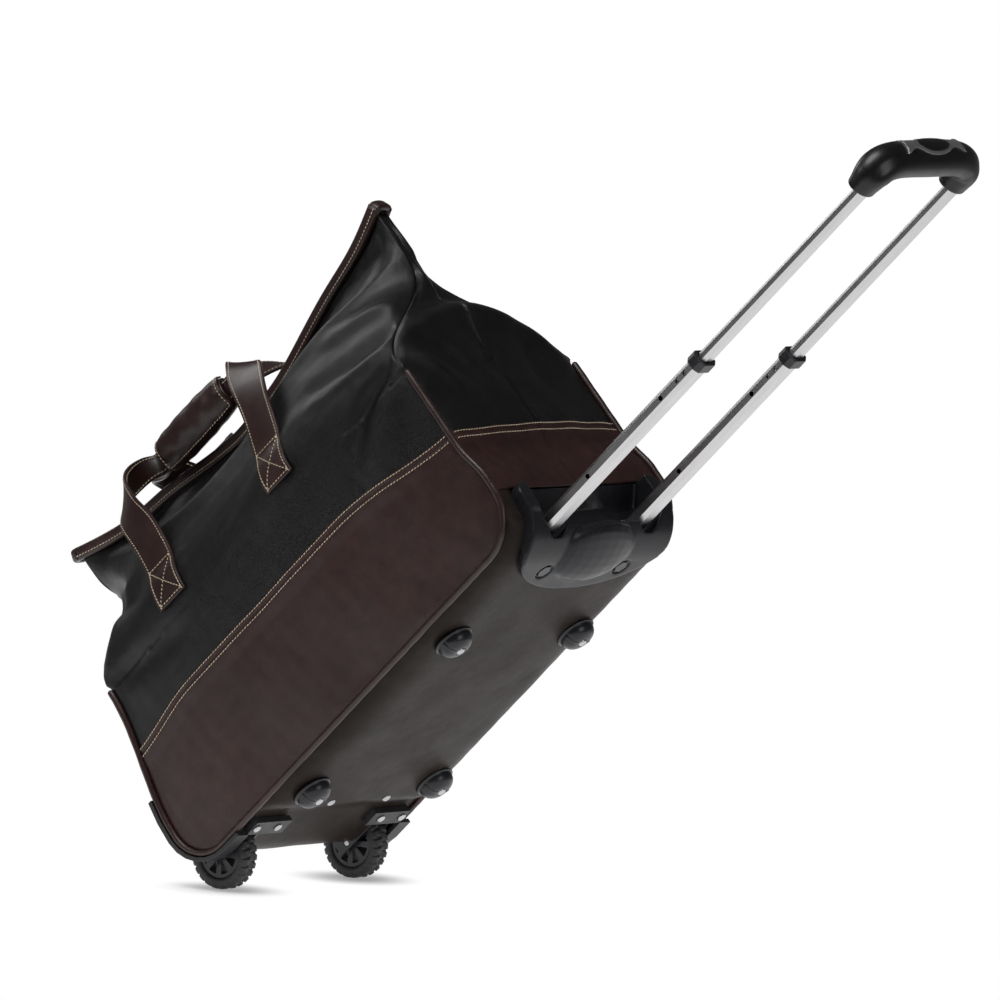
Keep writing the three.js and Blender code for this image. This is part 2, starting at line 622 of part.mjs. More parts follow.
// The cup wraps the lower corner; the tubes come out of a recess between its two wings.
function cupGeometry() {
  const side = new THREE.Shape();
  side.moveTo(CUP.x0, CUP.z0);
  side.lineTo(CUP.x1 - CUP.r, CUP.z0);
  side.absarc(CUP.x1 - CUP.r, CUP.z0 + CUP.r, CUP.r, -Math.PI / 2, 0);
  side.lineTo(CUP.x1, CUP.z1);
  side.lineTo(CUP.back, CUP.z1);
  side.lineTo(CUP.back, CUP.floor);
  side.lineTo(CUP.x0, CUP.floor);
  side.closePath();
  const block = toSolid(alongY(side, -CUP.y, CUP.y, 10));
  const front = roundedRectangle(-CUP.y, CUP.y, -30, CUP.z1, 16);
  const face = toSolid(alongX(front, CUP.x0 - 10, BEYOND));
  const recess = roundedRectangle(-RECESS.y, RECESS.y, RECESS.z, TALL, 12);
  const underRoof = outline([
    [RECESS.x, UNDER], [BEYOND, UNDER], [BEYOND, TALL],
    [RECESS.roof, TALL], [RECESS.roof, CUP.z1], [RECESS.x, RECESS.wall],
  ]);
  const room = toSolid(alongY(underRoof, -CUP.y, CUP.y));
  const tools = [toSolid(alongX(recess, RECESS.x, BEYOND, 6)).intersect(room)];
  const hole = tubeOutline(FIXED.y + 2 * GAP, FIXED.z + 2 * GAP, FIXED.chamfer);
  for (const s of Object.values(SIDES)) {
    const notch = rod('x', RECESS.notch, BEYOND - RECESS.x, [0, 0, 0], 24);
    notch.translate((BEYOND + RECESS.x) / 2, s * RAIL_Y, RAIL_Z);
    tools.push(toSolid(notch));
    tools.push(toSolid(alongX(hole, CUP.x0, BEYOND).translate(0, s * RAIL_Y, RAIL_Z)));
    tools.push(toSolid(rod('z', CUP_BOLT.hole, 6, [CUP_BOLT.x, s * CUP_BOLT.y, CUP.z0], 24)));
  }
  const body = join(block.intersect(cupPlan(0)).intersect(face), cupLeaf());
  return toGeometry(cut(body, ...tools));
}

// ---------------------------------------------------------------- trolley tubes
// Rectangle w by h about the origin, with its corners cut off.
function tubeOutline(w, h, c) {
  const [a, b] = [w / 2, h / 2];
  return outline([
    [a - c, -b], [a, -b + c], [a, b - c], [a - c, b],
    [-a + c, b], [-a, b - c], [-a, -b + c], [-a + c, -b],
  ]);
}

function tubeGeometry(tube) {
  const shape = tubeOutline(tube.y, tube.z, tube.chamfer);
  const inside = tubeOutline(tube.y - 2 * tube.wall, tube.z - 2 * tube.wall, tube.chamfer * 0.8);
  shape.holes.push(new THREE.Path(inside.getPoints().reverse()));
  return alongX(shape, tube.x0, tube.x1);
}

function drilled(tube, holes) {
  const drills = holes.map((x) => toSolid(rod('y', 2.7, 10, [x, -tube.y / 2, 0], 12)));
  return toGeometry(cut(toSolid(tubeGeometry(tube)), ...drills));
}

function collarGeometry() {
  const shape = tubeOutline(COLLAR.y, COLLAR.z, COLLAR.chamfer);
  const hole = tubeOutline(INNER.y + 0.8, INNER.z + 0.8, INNER.chamfer);
  shape.holes.push(new THREE.Path(hole.getPoints().reverse()));
  return alongX(shape, COLLAR.x0, COLLAR.x1);
}

add('handle_cup', cupGeometry(), MATERIAL.blackPlastic);
for (const [side, s] of Object.entries(SIDES)) {
  const onRail = (mesh) => mesh.position.set(0, s * RAIL_Y, RAIL_Z);
  const bolt = rod('z', CUP_BOLT.r, 2.2, [CUP_BOLT.x, s * CUP_BOLT.y, CUP.z0 + 1.5], 6);
  add(`cup_bolt_${side}`, bolt, MATERIAL.blackPlastic);
  onRail(add(`fixed_tube_${side}`, tubeGeometry(FIXED), MATERIAL.galvanised));
  onRail(add(`middle_tube_${side}`, drilled(MIDDLE, PIN_HOLES), MATERIAL.polished));
  onRail(add(`collar_${side}`, collarGeometry(), MATERIAL.blackPlastic));
  onRail(add(`inner_tube_${side}`, drilled(INNER, [PIN_X]), MATERIAL.polished));
  const pin = rod('y', 2.3, 7, [PIN_X, -MIDDLE.y / 2 + 1.2 + 3.5, 0], 16);
  onRail(add(`lock_pin_${side}`, pin, MATERIAL.steel));
}

// ---------------------------------------------------------------- grip with its button
// Half of the grip's middle line: x, distance from the middle plane, rise above the tubes.
const halfGrip = [
  [774, RAIL_Y, 3], [784, RAIL_Y, 4], [795, 73.5, 5.5], [803.5, 66, 7.5], [808, 50, 9],
];
const gripStops = [
  ...halfGrip.map(([x, y, rise]) => V(x, -y, RAIL_Z + rise)),
  V(GRIP.x, 0, RAIL_Z + GRIP.rise),
  ...halfGrip.map(([x, y, rise]) => V(x, y, RAIL_Z + rise)).reverse(),
];
const gripPath = new THREE.CatmullRomCurve3(gripStops, false, 'centripetal');

function gripGeometry() {
  const up = V(0, 0, 1);
  const loops = steps(0, 1, 36).map((t) => {
    const at = gripPath.getPoint(t);
    const along = gripPath.getTangent(t);
    const across = up.clone().addScaledVector(along, -up.dot(along)).normalize();
    const out = along.clone().cross(across).normalize();
    const share = smooth(1 - Math.abs(2 * t - 1), 0, 0.5);
    const [thick, deep] = [0, 1].map((i) => lerp(GRIP.end[i], GRIP.middle[i], share));
    return steps(0, 2 * Math.PI, 16).slice(0, -1).map((a) => at.clone()
      .addScaledVector(across, deep * Math.cos(a))
      .addScaledVector(out, thick * Math.sin(a)));
  });
  return loft(loops);
}

// Stands a piece that is drawn flat on the grip, at a height above the grip's middle line.
function placedOnGrip(geometry, height) {
  geometry.translate(0, 0, height).rotateY(radians(90 - BUTTON_LEAN));
  return geometry.translate(GRIP.x, 0, RAIL_Z + GRIP.rise);
}

function oval(wide, half) {
  const shape = new THREE.Shape();
  shape.absellipse(0, 0, wide, half, 0, 2 * Math.PI);
  return shape;
}

const slabOf = (shape, depth) =>
  new THREE.ExtrudeGeometry(shape, { depth, bevelEnabled: false, curveSegments: 16 });

// The silver surround is widest at its ends and round the button: half widths along the grip.
const SURROUND = [
  [0, 13], [10, 12.3], [18, 10.4], [24, 7.6], [29, 5.6], [34, 5.4], [39, 7.2], [43, 9.4], [48, 10.4],
];

function surroundShape() {
  const quarter = SURROUND.map(([along, wide]) => [wide, along]);
  const right = [...quarter.slice(1).map(([w, a]) => [w, -a]).reverse(), ...quarter];
  const shape = outline([...right, ...right.map(([w, a]) => [-w, a]).reverse()]);
  const hole = oval(BUTTON.wide + 0.6, BUTTON.half + 0.6).getPoints(16);
  shape.holes.push(new THREE.Path(hole.reverse()));
  return shape;
}

function pocketedGrip() {
  const seat = slabOf(oval(BUTTON.wide + 0.5, BUTTON.half + 0.5), 20);
  const level = slabOf(roundedRectangle(-14, 14, -49, 49, 4), 20);
  const tools = [placedOnGrip(seat, SEAT.floor), placedOnGrip(level, SEAT.level)];
  return toGeometry(cut(toSolid(gripGeometry()), ...tools.map(toSolid)));
}

const surround = placedOnGrip(slabOf(surroundShape(), 2), SEAT.level + GAP);
const button = slabOf(oval(BUTTON.wide, BUTTON.half), BUTTON.high - BUTTON.low);
add('grip', pocketedGrip(), MATERIAL.blackPlastic);
add('button_surround', surround, MATERIAL.satinSilver);
add('grip_button', placedOnGrip(button, BUTTON.low), MATERIAL.blackPlastic);

// ---------------------------------------------------------------- carry handles
// Each stop of a strap: centre, direction across its width, and half its width.
function strapStops(side) {
  const s = SIDES[side];
  const [handleX, wheelX] = STRAP.legs;
  const stops = [];
  const put = (x, y, z, across, half) => {
    stops.push({ at: V(x, y, z), across: across.normalize(), half });
  };
  const onPanel = (x, z) => {
    const p = x / panelHalf(endOf(x), z);
    return s * (sideDistance(p, x, z) + STRAP.thick / 2 + 2.6);
  };
  const footing = [STRAP.foot, 266, 281, STRAP.free];
  for (const z of footing) put(handleX, onPanel(handleX, z), z, V(1, 0, 0), STRAP.half);
  const core = WRAP.y + s * 3.2;
  const front = side === 'front';
  const shoulder = front
    ? [[77, -112, 342], [71, -86, 387], [58, -57, 416], [34, -33, 424]]
    : [[76, 102, 342], [70, 66, 388], [56, 24, 415], [34, -4, 425]];
  const turn = [V(1, 0, 0), V(1, -0.3 * s, -0.1), V(0.75, -0.6 * s, -0.5), V(0.3, -0.3 * s, -0.9)];
  const halves = [STRAP.half, STRAP.half, 17, 13];
  shoulder.forEach(([x, y, z], i) => put(x, y, z, turn[i].clone(), halves[i]));
  for (const x of [WRAP.x1 + 9, WRAP.x1 - 4, (WRAP.x0 + WRAP.x1) / 2, WRAP.x0 + 4, WRAP.x0 - 9]) {
    put(x, core, WRAP.z, V(0, 0, -1), STRAP.neck);
  }
  const drop = front
    ? [[-123, -36, 426], [-132, -67, 412], [-128, -96, 381], [-115, -114, 340]]
    : [[-124, -5, 430], [-138, 14, 438], [-138, 53, 417], [-117, 98, 354]];
  const back = turn.map((w) => V(-w.x, w.y, w.z)).reverse();
  drop.forEach(([x, y, z], i) => put(x, y, z, back[i], [...halves].reverse()[i]));
  for (const z of footing.reverse()) put(wheelX, onPanel(wheelX, z), z, V(-1, 0, 0), STRAP.half);
  return stops;
}

function strapGeometry(side) {
  const stops = strapStops(side);
  const route = new THREE.CatmullRomCurve3(stops.map((stop) => stop.at));
  const across = new THREE.CatmullRomCurve3(stops.map((stop) => stop.across));
  const width = new THREE.CatmullRomCurve3(stops.map((stop) => V(stop.half, 0, 0)));
  const loops = steps(0, 1, 3 * (stops.length - 1)).map((t) => {
    const at = route.getPoint(t);
    const along = route.getTangent(t);
    const w = across.getPoint(t);
    w.addScaledVector(along, -w.dot(along)).normalize();
    const n = along.clone().cross(w).normalize();
    w.multiplyScalar(width.getPoint(t).x);
    n.multiplyScalar(STRAP.thick / 2);
    const corner = (a, b) => at.clone().addScaledVector(w, a).addScaledVector(n, b);
    return [corner(-1, -1), corner(1, -1), corner(1, 1), corner(-1, 1)];
  });
  return loft(loops);
}

for (const side of Object.keys(SIDES)) {
  add(`${side}_strap`, strapGeometry(side), MATERIAL.brownTrim);
}

// The wrap is a leather sleeve round both straps; its flap lies over the front.
function wrapGeometry() {
  const shape = new THREE.Shape();
  shape.absellipse(0, 0, WRAP.ry, WRAP.rz, 0, 2 * Math.PI);
  const slot = roundedRectangle(-WRAP.slotY, WRAP.slotY, -WRAP.slotZ, WRAP.slotZ, 1.5);
  shape.holes.push(new THREE.Path(slot.getPoints(3).reverse()));
  return alongX(shape, WRAP.x0, WRAP.x1, 10).translate(0, WRAP.y, WRAP.z);
}

function flapGeometry() {
  const arc = (out) => steps(radians(FLAP.from), radians(FLAP.to), 12).map((a) =>
    [(WRAP.ry + out) * Math.cos(a), (WRAP.rz + out) * Math.sin(a)]);
  const shape = outline([...arc(GAP + 0.1), ...arc(GAP + FLAP.thick).reverse()]);
  return alongX(shape, WRAP.x0 + 1, WRAP.x1 - 1).translate(0, WRAP.y, WRAP.z);
}

add('wrap_grip', wrapGeometry(), MATERIAL.brownTrim);
add('wrap_flap', flapGeometry(), MATERIAL.brownTrim);

// ---------------------------------------------------------------- origin at the middle of the base
bag.updateMatrixWorld(true);
const box = new THREE.Box3().setFromObject(bag, true);
const centre = box.getCenter(V(0, 0, 0));
bag.position.set(-centre.x, -centre.y, -box.min.z);

export default bag;
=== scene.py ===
"""Looks of the soft two-tone rolling bag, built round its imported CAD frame.

Lengths in this file are millimetres in the bag's own frame, where X is 0 at the middle of the bag,
-Y is the front and Z is 0 on the floor.  to_row() turns them into metres in the row's frame.
"""
import math

import bmesh
import bpy
import numpy as np
from mathutils import Matrix, Vector


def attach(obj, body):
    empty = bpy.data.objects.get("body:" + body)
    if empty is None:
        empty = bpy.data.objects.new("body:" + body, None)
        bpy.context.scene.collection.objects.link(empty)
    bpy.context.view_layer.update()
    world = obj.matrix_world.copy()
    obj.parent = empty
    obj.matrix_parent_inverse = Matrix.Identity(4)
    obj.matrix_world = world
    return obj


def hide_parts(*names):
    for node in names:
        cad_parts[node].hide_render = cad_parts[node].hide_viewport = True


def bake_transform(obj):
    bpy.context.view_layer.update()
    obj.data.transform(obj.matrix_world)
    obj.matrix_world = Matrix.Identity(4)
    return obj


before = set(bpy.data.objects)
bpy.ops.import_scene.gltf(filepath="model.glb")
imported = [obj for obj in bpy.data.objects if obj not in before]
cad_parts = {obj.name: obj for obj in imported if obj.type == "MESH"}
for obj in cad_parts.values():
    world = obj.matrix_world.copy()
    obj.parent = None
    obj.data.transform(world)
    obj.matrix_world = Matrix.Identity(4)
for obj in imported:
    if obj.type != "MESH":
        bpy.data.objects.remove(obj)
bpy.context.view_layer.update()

SCENE = bpy.context.scene
ORIGIN_X = 270.225               # the row's origin, seen from the middle of the bag
MM = 0.001

# ---------------- the bag's dimensions, as in the CAD
BAG_HALF = 271
SIDE_Y = 137
PIPE_Z = 31
PIPE_R = 3.5
PIPE_TOP = 237
CORNER_R = {"handle": 50, "wheel": 42}
BASE_DROP = 14
SEAM_Z = {"handle": 157, "middle": 178, "wheel": 168}
TAPER = {"handle": 7, "wheel": 31}
SIDE_BULGE = 9
END_BULGE = {"handle": 9, "wheel": 20}
PINCH = (0.08, 0.7)
RIM_R = 690
RIM_X = -22
RIM_LOW = 395
RIM_TALL = 14
RIM_Y = (4.8, 12.8)
RIM_TIP = {"handle": 260, "wheel": 262}
RIM_CENTRE = RIM_LOW + RIM_R
SIDES = {"front": -1, "back": 1}
ENDS = {"handle": 1, "wheel": -1}
LEATHER = 2.2                    # thickness of a leather panel
TUCK = 2.4                       # panels run this close to the middle of the piping
SEAM_LAP = 1.8                   # the brown leather laps this far over the seam line
SEAM_ROWS = 7.4                  # between the two rows of stitches
FEET = [(110, -100), (110, 100), (-128, -100), (-128, 100)]
BASE_RIVETS = [(-152, -45), (-152, 45)]
WHEEL = {"x": -252, "y": 107, "z": 36, "r": 36, "width": 20, "rim": 25}
RAIL_Z = 38
GRIP = {"x": 809.5, "rise": 9, "end": (16, 14), "middle": (17.5, 19)}
CUP = {"middle": 250, "nose": 60, "y": 116}
WRAP = {"x0": -103, "x1": 5, "y": -19, "z": 425, "ry": 15, "rz": 20}
STRAP = {"legs": (75, -110), "half": 20, "neck": 12, "thick": 3.4, "foot": 252, "free": 296}
HALF_GRIP = [(774, 75, 3), (784, 75, 4), (795, 73.5, 5.5), (803.5, 66, 7.5), (808, 50, 9)]
BUTTON = {"lean": 12, "half": 24.7, "wide": 9.7}     # it faces away from the bag, a little upwards
SURROUND = [(0, 13), (10, 12.3), (18, 10.4), (24, 7.6), (29, 5.6), (34, 5.4), (39, 7.2), (43, 9.4),
            (48, 10.4)]          # half width of the silver plate, by distance from its middle

# ---------------- details that only the looks have
GUTTER = 3.5                     # the leather dips over this width along the piping
SWELL_TALL = 290                 # a side panel bulges over this height above the piping's bottom
MOUTH_HALF = {"middle": 10.5, "ends": 8}             # half width of the closed mouth
WHEEL_SLOT = {"x": -208, "y": (91.5, 122.5)}         # the base is open there for a wheel
CUP_LIP = 5                      # the base reaches this far under the cup's edge
ZIP_PITCH = 1.6
SLIDER = {"x": -39, "half": 9}   # no teeth under the slider's rest place
LAP_STEP = 1.5                   # the brown leather stands this proud of the black one
RIPPLE_WAVES = 7                 # how many waves make one unevenness
EDGE_ANGLE = 35                  # sharper corners than this are rounded
FACET_ANGLE = 25                 # CAD faces that meet at less than this are shaded as one
STITCH = {"pitch": 4.1, "length": 2.8, "radius": 0.52, "lift": 0.25, "slant": 0.5, "sides": 6}
STRAP_BODY = ("bag", "carry_grip", (0, 0, 0.302), (0, 0, 0.4))   # bodies and heights for the straps; the script reads none of them and leaves the straps unattached
# rows of points over a side and across an end: from, to, how many
ALONG = [(-1, -0.93, 16), (-0.93, -0.6, 26), (-0.6, 0.5, 60), (0.5, 0.9, 40), (0.9, 1, 22)]
ACROSS = [(-1, -0.9, 10), (-0.9, 0.9, 64), (0.9, 1, 10)]

# ---------------- the view
RIGHT = Vector((0.59618, 0.61011, -0.52186))
UP = Vector((0.63792, 0.03432, 0.76934))
BACK = Vector((0.48729, -0.79156, -0.36875))
TARGET = Vector((-0.10814, 0.0355, 0.1480))
DISTANCE = 16.0
LENS = 574.4
LIT_POINT = (-0.2, 0, 0.2)       # the lights face this
FLOOR_UP = Vector((0.711, 0, 0.703)).normalized()    # the bag leans on its wheels by 45 degrees


# ---------------- small helpers
def to_row(points):
    """Millimetres in the bag's frame to metres in the row's frame."""
    moved = np.array(points, float)
    moved[..., 0] -= ORIGIN_X
    return moved * MM


def smooth(x, a, b):
    t = np.clip((np.asarray(x, float) - a) / (b - a), 0, 1)
    return t * t * (3 - 2 * t)


def unit(v):
    return v / np.maximum(np.linalg.norm(v, axis=-1, keepdims=True), 1e-9)


def ripple(points, wavelength, height, seed):
    """Soft unevenness of a surface: a sum of waves in fixed directions."""
    rng = np.random.default_rng(seed)
    total = np.zeros(points.shape[:-1])
    for _ in range(RIPPLE_WAVES):
        direction = unit(rng.normal(size=3))
        length = wavelength * rng.uniform(0.6, 1.5)
        total += np.sin(2 * np.pi * (points @ direction) / length + rng.uniform(0, 6.28))
    return height * total / math.sqrt(RIPPLE_WAVES)


def spread(*spans):
    """Sample values through (start, end, count) spans."""
    parts = [np.linspace(a, b, n, endpoint=False) for a, b, n in spans]
    return np.concatenate([*parts, [spans[-1][1]]])


def grid_faces(rows, cols, close_rows=False, close_cols=False):
    faces = []
    for i in range(rows if close_rows else rows - 1):
        for j in range(cols if close_cols else cols - 1):
            a, b = (i + 1) % rows, (j + 1) % cols
            faces.append((i * cols + j, i * cols + b, a * cols + b, a * cols + j))
    return faces


def piece(name, points, faces, material, body, replaces=(), outward=None, sharp=None):
    """A new mesh piece.  outward is the way that an open sheet faces at its middle.

    body is a body's name, or a (body, body, start, end) tuple whose contents are not used: such a piece
    is left unattached.
    """
    mesh = bpy.data.meshes.new(name)
    mesh.from_pydata(to_row(np.asarray(points).reshape(-1, 3)).tolist(), [], faces)
    shape = bmesh.new()
    shape.from_mesh(mesh)
    bmesh.ops.recalc_face_normals(shape, faces=shape.faces)
    if outward is not None:
        shape.faces.ensure_lookup_table()
        middle = shape.faces[len(shape.faces) // 2]
        if middle.normal.dot(Vector(outward)) < 0:
            bmesh.ops.reverse_faces(shape, faces=shape.faces)
    shape.to_mesh(mesh)
    shape.free()
    mesh.shade_smooth()
    if sharp is not None:
        mesh.set_sharp_from_angle(angle=math.radians(sharp))
    mesh.materials.append(material)
    obj = bpy.data.objects.new(name, mesh)
    SCENE.collection.objects.link(obj)
    if isinstance(body, tuple):
        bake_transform(obj)
    else:
        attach(obj, body)
    if replaces:
        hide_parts(*replaces)
    return obj


def thicken(obj, depth):
    solid = obj.modifiers.new("thickness", "SOLIDIFY")
    solid.thickness = depth * MM
    solid.offset = -1


def round_edges(obj, width, segments=2):
    bevel = obj.modifiers.new("edges", "BEVEL")
    bevel.width = width * MM
    bevel.segments = segments
    bevel.limit_method = "ANGLE"
    bevel.angle_limit = math.radians(EDGE_ANGLE)
    bevel.harden_normals = True


def dress(node, material, edge=0.5, segments=2):
    """Give a CAD node its material, welded corners and rounded edges."""
    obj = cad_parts[node]
    obj.data.materials.clear()
    obj.data.materials.append(material)
    normals = obj.data.attributes.get("custom_normal")
    if normals:
        obj.data.attributes.remove(normals)
    obj.data.shade_smooth()
    weld = obj.modifiers.new("weld", "WELD")
    weld.merge_threshold = 2e-5
    if edge:
        round_edges(obj, edge, segments)
    return obj


def facet(obj):
    """Keep a CAD node's flat faces flat."""
    split = obj.modifiers.new("facets", "EDGE_SPLIT")
    split.split_angle = math.radians(FACET_ANGLE)


def curve_through(stops, count):
    """Points on a centripetal Catmull-Rom curve through stops, evenly spaced in the stop number."""
    stops = np.asarray(stops, float)
    ends = np.vstack([2 * stops[0] - stops[1], stops, 2 * stops[-1] - stops[-2]])
    made = []
    for t in np.linspace(0, len(stops) - 1, count):
        i = min(int(t), len(stops) - 2)
        w = t - i
        p0, p1, p2, p3 = ends[i:i + 4]
        d0, d1, d2 = [max(np.linalg.norm(b - a), 1e-4) ** 0.5
                      for a, b in ((p0, p1), (p1, p2), (p2, p3))]
        m1 = ((p1 - p0) / d0 - (p2 - p0) / (d0 + d1) + (p2 - p1) / d1) * d1
        m2 = ((p2 - p1) / d1 - (p3 - p1) / (d1 + d2) + (p3 - p2) / d2) * d1
        made.append(p1 + m1 * w + (-3 * p1 + 3 * p2 - 2 * m1 - m2) * w ** 2
                    + (2 * p1 - 2 * p2 + m1 + m2) * w ** 3)
    return np.array(made)


def resample(points, count):
    """The same polyline with evenly spaced points."""
    length = np.concatenate([[0], np.cumsum(np.linalg.norm(np.diff(points, axis=0), axis=1))])
    at = np.linspace(0, length[-1], count)
    return np.stack([np.interp(at, length, points[:, k]) for k in range(points.shape[1])], 1)


def sweep(name, path, side, up, section, material, body, replaces=(), scale=None):
    """Solid with the closed section (side, up) at every point of the path."""
    section = np.asarray(section, float)
    if section.ndim == 2:
        section = np.repeat(section[None], len(path), 0)
    if scale is not None:
        section = section * np.asarray(scale)[:, None, None]
    loops = (path[:, None] + section[..., :1] * side[:, None] + section[..., 1:] * up[:, None])
    return piece(name, loops, capped(*loops.shape[:2]), material, body, replaces)


def circle(r, count):
    a = np.linspace(0, 2 * np.pi, count, endpoint=False)
    return np.stack([r * np.cos(a), r * np.sin(a)], 1)


def capped(rows, cols):
    """Faces of a solid made of closed loops, with a cap on the first and the last."""
    last = (rows - 1) * cols
    ends = [tuple(range(cols)), tuple(range(last, last + cols))]
    return grid_faces(rows, cols, close_cols=True) + ends


def rounded_box(w, h, r, steps=4):
    """Outline of a rectangle w by h about the origin, with round corners."""
    points = []
    for k, (sx, sy) in enumerate(((1, 1), (-1, 1), (-1, -1), (1, -1))):
        for a in np.linspace(k * 90, k * 90 + 90, steps):
            points.append((sx * (w / 2 - r) + r * math.cos(math.radians(a)),
                           sy * (h / 2 - r) + r * math.sin(math.radians(a))))
    return np.array(points)


def lathe(name, profile, sides, centre, material, body, replaces=(), shape=None):
    """Turned piece about Z, from (radius, height) pairs.  shape(points) may press it out of round."""
    loops = []
    for r, z in profile:
        loops.append([(r * math.cos(a), r * math.sin(a), z)
                      for a in np.linspace(0, 2 * np.pi, sides, endpoint=False)])
    loops = np.array(loops)
    if shape is not None:
        loops = shape(loops)
    faces = capped(len(profile), sides)
    return piece(name, loops + np.array(centre), faces, material, body, replaces)


# ---------------- materials
class Shading:
    """A material and its node tree.  Points are in metres, on the object as it was built."""

    def __init__(self, name):
        self.material = bpy.data.materials.new(name)
        self.material.use_nodes = True
        self.nodes, self.links = self.material.node_tree.nodes, self.material.node_tree.links
        self.shader = self.nodes["Principled BSDF"]

    def add(self, kind, vector=None, **values):
        """A new node with its inputs set, given a vector if it takes one."""
        node = self.nodes.new(f"ShaderNode{kind}")
        for socket, value in values.items():
            node.inputs[socket].default_value = value
        if vector is not None:
            self.links.new(vector, node.inputs["Vector"])
        return node

    def drive(self, socket, value):
        self.links.new(value, self.shader.inputs[socket])

    def fix(self, socket, value):
        self.shader.inputs[socket].default_value = value

    def coordinates(self, stretch=(1, 1, 1)):
        where = self.add("TexCoord").outputs["Object"]
        return self.add("Mapping", where, Scale=stretch).outputs["Vector"]

    def noise(self, vector, scale, detail=4, roughness=0.55):
        texture = self.add("TexNoise", vector, Scale=scale, Detail=detail, Roughness=roughness)
        return texture.outputs["Fac"]

    def ramp(self, fac, stops):
        """Colour ramp from (position, colour) pairs; a single number stands for a grey."""
        element = self.add("ValToRGB")
        bar = element.color_ramp
        while len(bar.elements) < len(stops):
            bar.elements.new(0.5)
        for e, (position, colour) in zip(bar.elements, stops):
            e.position = position
            e.color = (*colour, 1) if hasattr(colour, "__len__") else (colour, colour, colour, 1)
        self.links.new(fac, element.inputs["Fac"])
        return element.outputs["Color"]

    def blend_colours(self, fac, a, b, mode="MIX"):
        mix = self.add("Mix")
        mix.data_type = "RGBA"
        mix.blend_type = mode
        for socket, value in ((mix.inputs["Factor"], fac), (mix.inputs[6], a), (mix.inputs[7], b)):
            if isinstance(value, bpy.types.NodeSocket):
                self.links.new(value, socket)
            elif hasattr(value, "__len__"):
                socket.default_value = (*value, 1)
            else:
                socket.default_value = value
        return mix.outputs[2]

    def bump(self, height, strength, distance, below=None):
        node = self.add("Bump", Strength=strength, Distance=distance)
        self.links.new(height, node.inputs["Height"])
        if below is not None:
            self.links.new(below, node.inputs["Normal"])
        return node.outputs["Normal"]


def leather(name, dark, light, worn, rough=(0.36, 0.52), grain=620, depth=0.35, coat=0.12, shine=0.42):
    """Grained leather: pebbles, fine pores, cloudy colour, worn patches."""
    tree = Shading(name)
    at = tree.coordinates()
    body = tree.ramp(tree.noise(at, 9, 5), [(0.3, dark), (0.72, light)])
    tint = tree.ramp(tree.noise(at, 70, 4), [(0.35, 0.78), (0.7, 1.12)])
    body = tree.blend_colours(1.0, body, tint, "MULTIPLY")
    wobble = tree.add("TexNoise", at, Scale=240)
    shift = tree.add("VectorMath")
    shift.operation = "SCALE"
    shift.inputs["Scale"].default_value = 0.0016
    tree.links.new(wobble.outputs["Color"], shift.inputs[0])
    warp = tree.add("VectorMath")
    warp.operation = "ADD"
    tree.links.new(at, warp.inputs[0])
    tree.links.new(shift.outputs["Vector"], warp.inputs[1])
    pebbles = tree.add("TexVoronoi")
    pebbles.feature = "DISTANCE_TO_EDGE"
    pebbles.inputs["Scale"].default_value = grain
    pebbles.inputs["Randomness"].default_value = 0.9
    tree.links.new(warp.outputs["Vector"], pebbles.inputs["Vector"])
    cells = tree.ramp(pebbles.outputs["Distance"], [(0.0, 0.0), (0.16, 1.0)])
    # painted shade: the colour darkens in the creases between the grain's pebbles, where shade would
    # fall
    crease = tree.ramp(pebbles.outputs["Distance"], [(0.0, 0.72), (0.1, 1.0)])
    body = tree.blend_colours(1.0, body, crease, "MULTIPLY")
    wear = tree.ramp(tree.noise(at, 26, 6, 0.7), [(0.62, 0.0), (0.78, 0.35)])
    tree.drive("Base Color", tree.blend_colours(wear, body, worn))
    tree.drive("Roughness", tree.ramp(tree.noise(at, 34, 5), [(0.3, rough[0]), (0.75, rough[1])]))
    normal = tree.bump(cells, depth, 0.00022)
    normal = tree.bump(tree.noise(at, 1500, 3), depth * 0.5, 0.00012, normal)
    tree.drive("Normal", tree.bump(tree.noise(at, 55, 3), 0.25, 0.0012, normal))
    tree.fix("Coat Weight", coat)
    tree.fix("Coat Roughness", 0.32)
    tree.fix("Specular IOR Level", shine)
    return tree.material


def plastic(name, dark, light, rough=(0.3, 0.42), texture=900, depth=0.12, coat=0.0, shine=0.5):
    """Moulded plastic or rubber: a fine spark texture, dust and rubbed patches."""
    tree = Shading(name)
    at = tree.coordinates()
    body = tree.ramp(tree.noise(at, 18, 6, 0.65), [(0.3, dark), (0.75, light)])
    speck = tree.ramp(tree.noise(at, 240, 2), [(0.4, 0.86), (0.65, 1.1)])
    tree.drive("Base Color", tree.blend_colours(1.0, body, speck, "MULTIPLY"))
    tree.drive("Roughness", tree.ramp(tree.noise(at, 60, 6, 0.7), [(0.35, rough[0]), (0.7, rough[1])]))
    tree.drive("Normal", tree.bump(tree.noise(at, texture, 3), depth, 0.0002))
    tree.fix("Coat Weight", coat)
    tree.fix("Coat Roughness", 0.2)
    tree.fix("Specular IOR Level", shine)
    return tree.material


def metal(name, dark, light, rough=(0.12, 0.24), stretch=(1, 1, 1), depth=0.05, scale=60):
    """Metal with drawn or brushed lines along the axis that stretch keeps short."""
    tree = Shading(name)
    tree.fix("Metallic", 1)
    lines = tree.noise(tree.coordinates(stretch), scale, 6, 0.7)
    tree.drive("Base Color", tree.ramp(lines, [(0.3, dark), (0.7, light)]))
    smudge = tree.noise(tree.coordinates(), 45, 5, 0.6)
    tree.drive("Roughness", tree.ramp(smudge, [(0.35, rough[0]), (0.7, rough[1])]))
    tree.drive("Normal", tree.bump(lines, depth, 0.0001))
    return tree.material


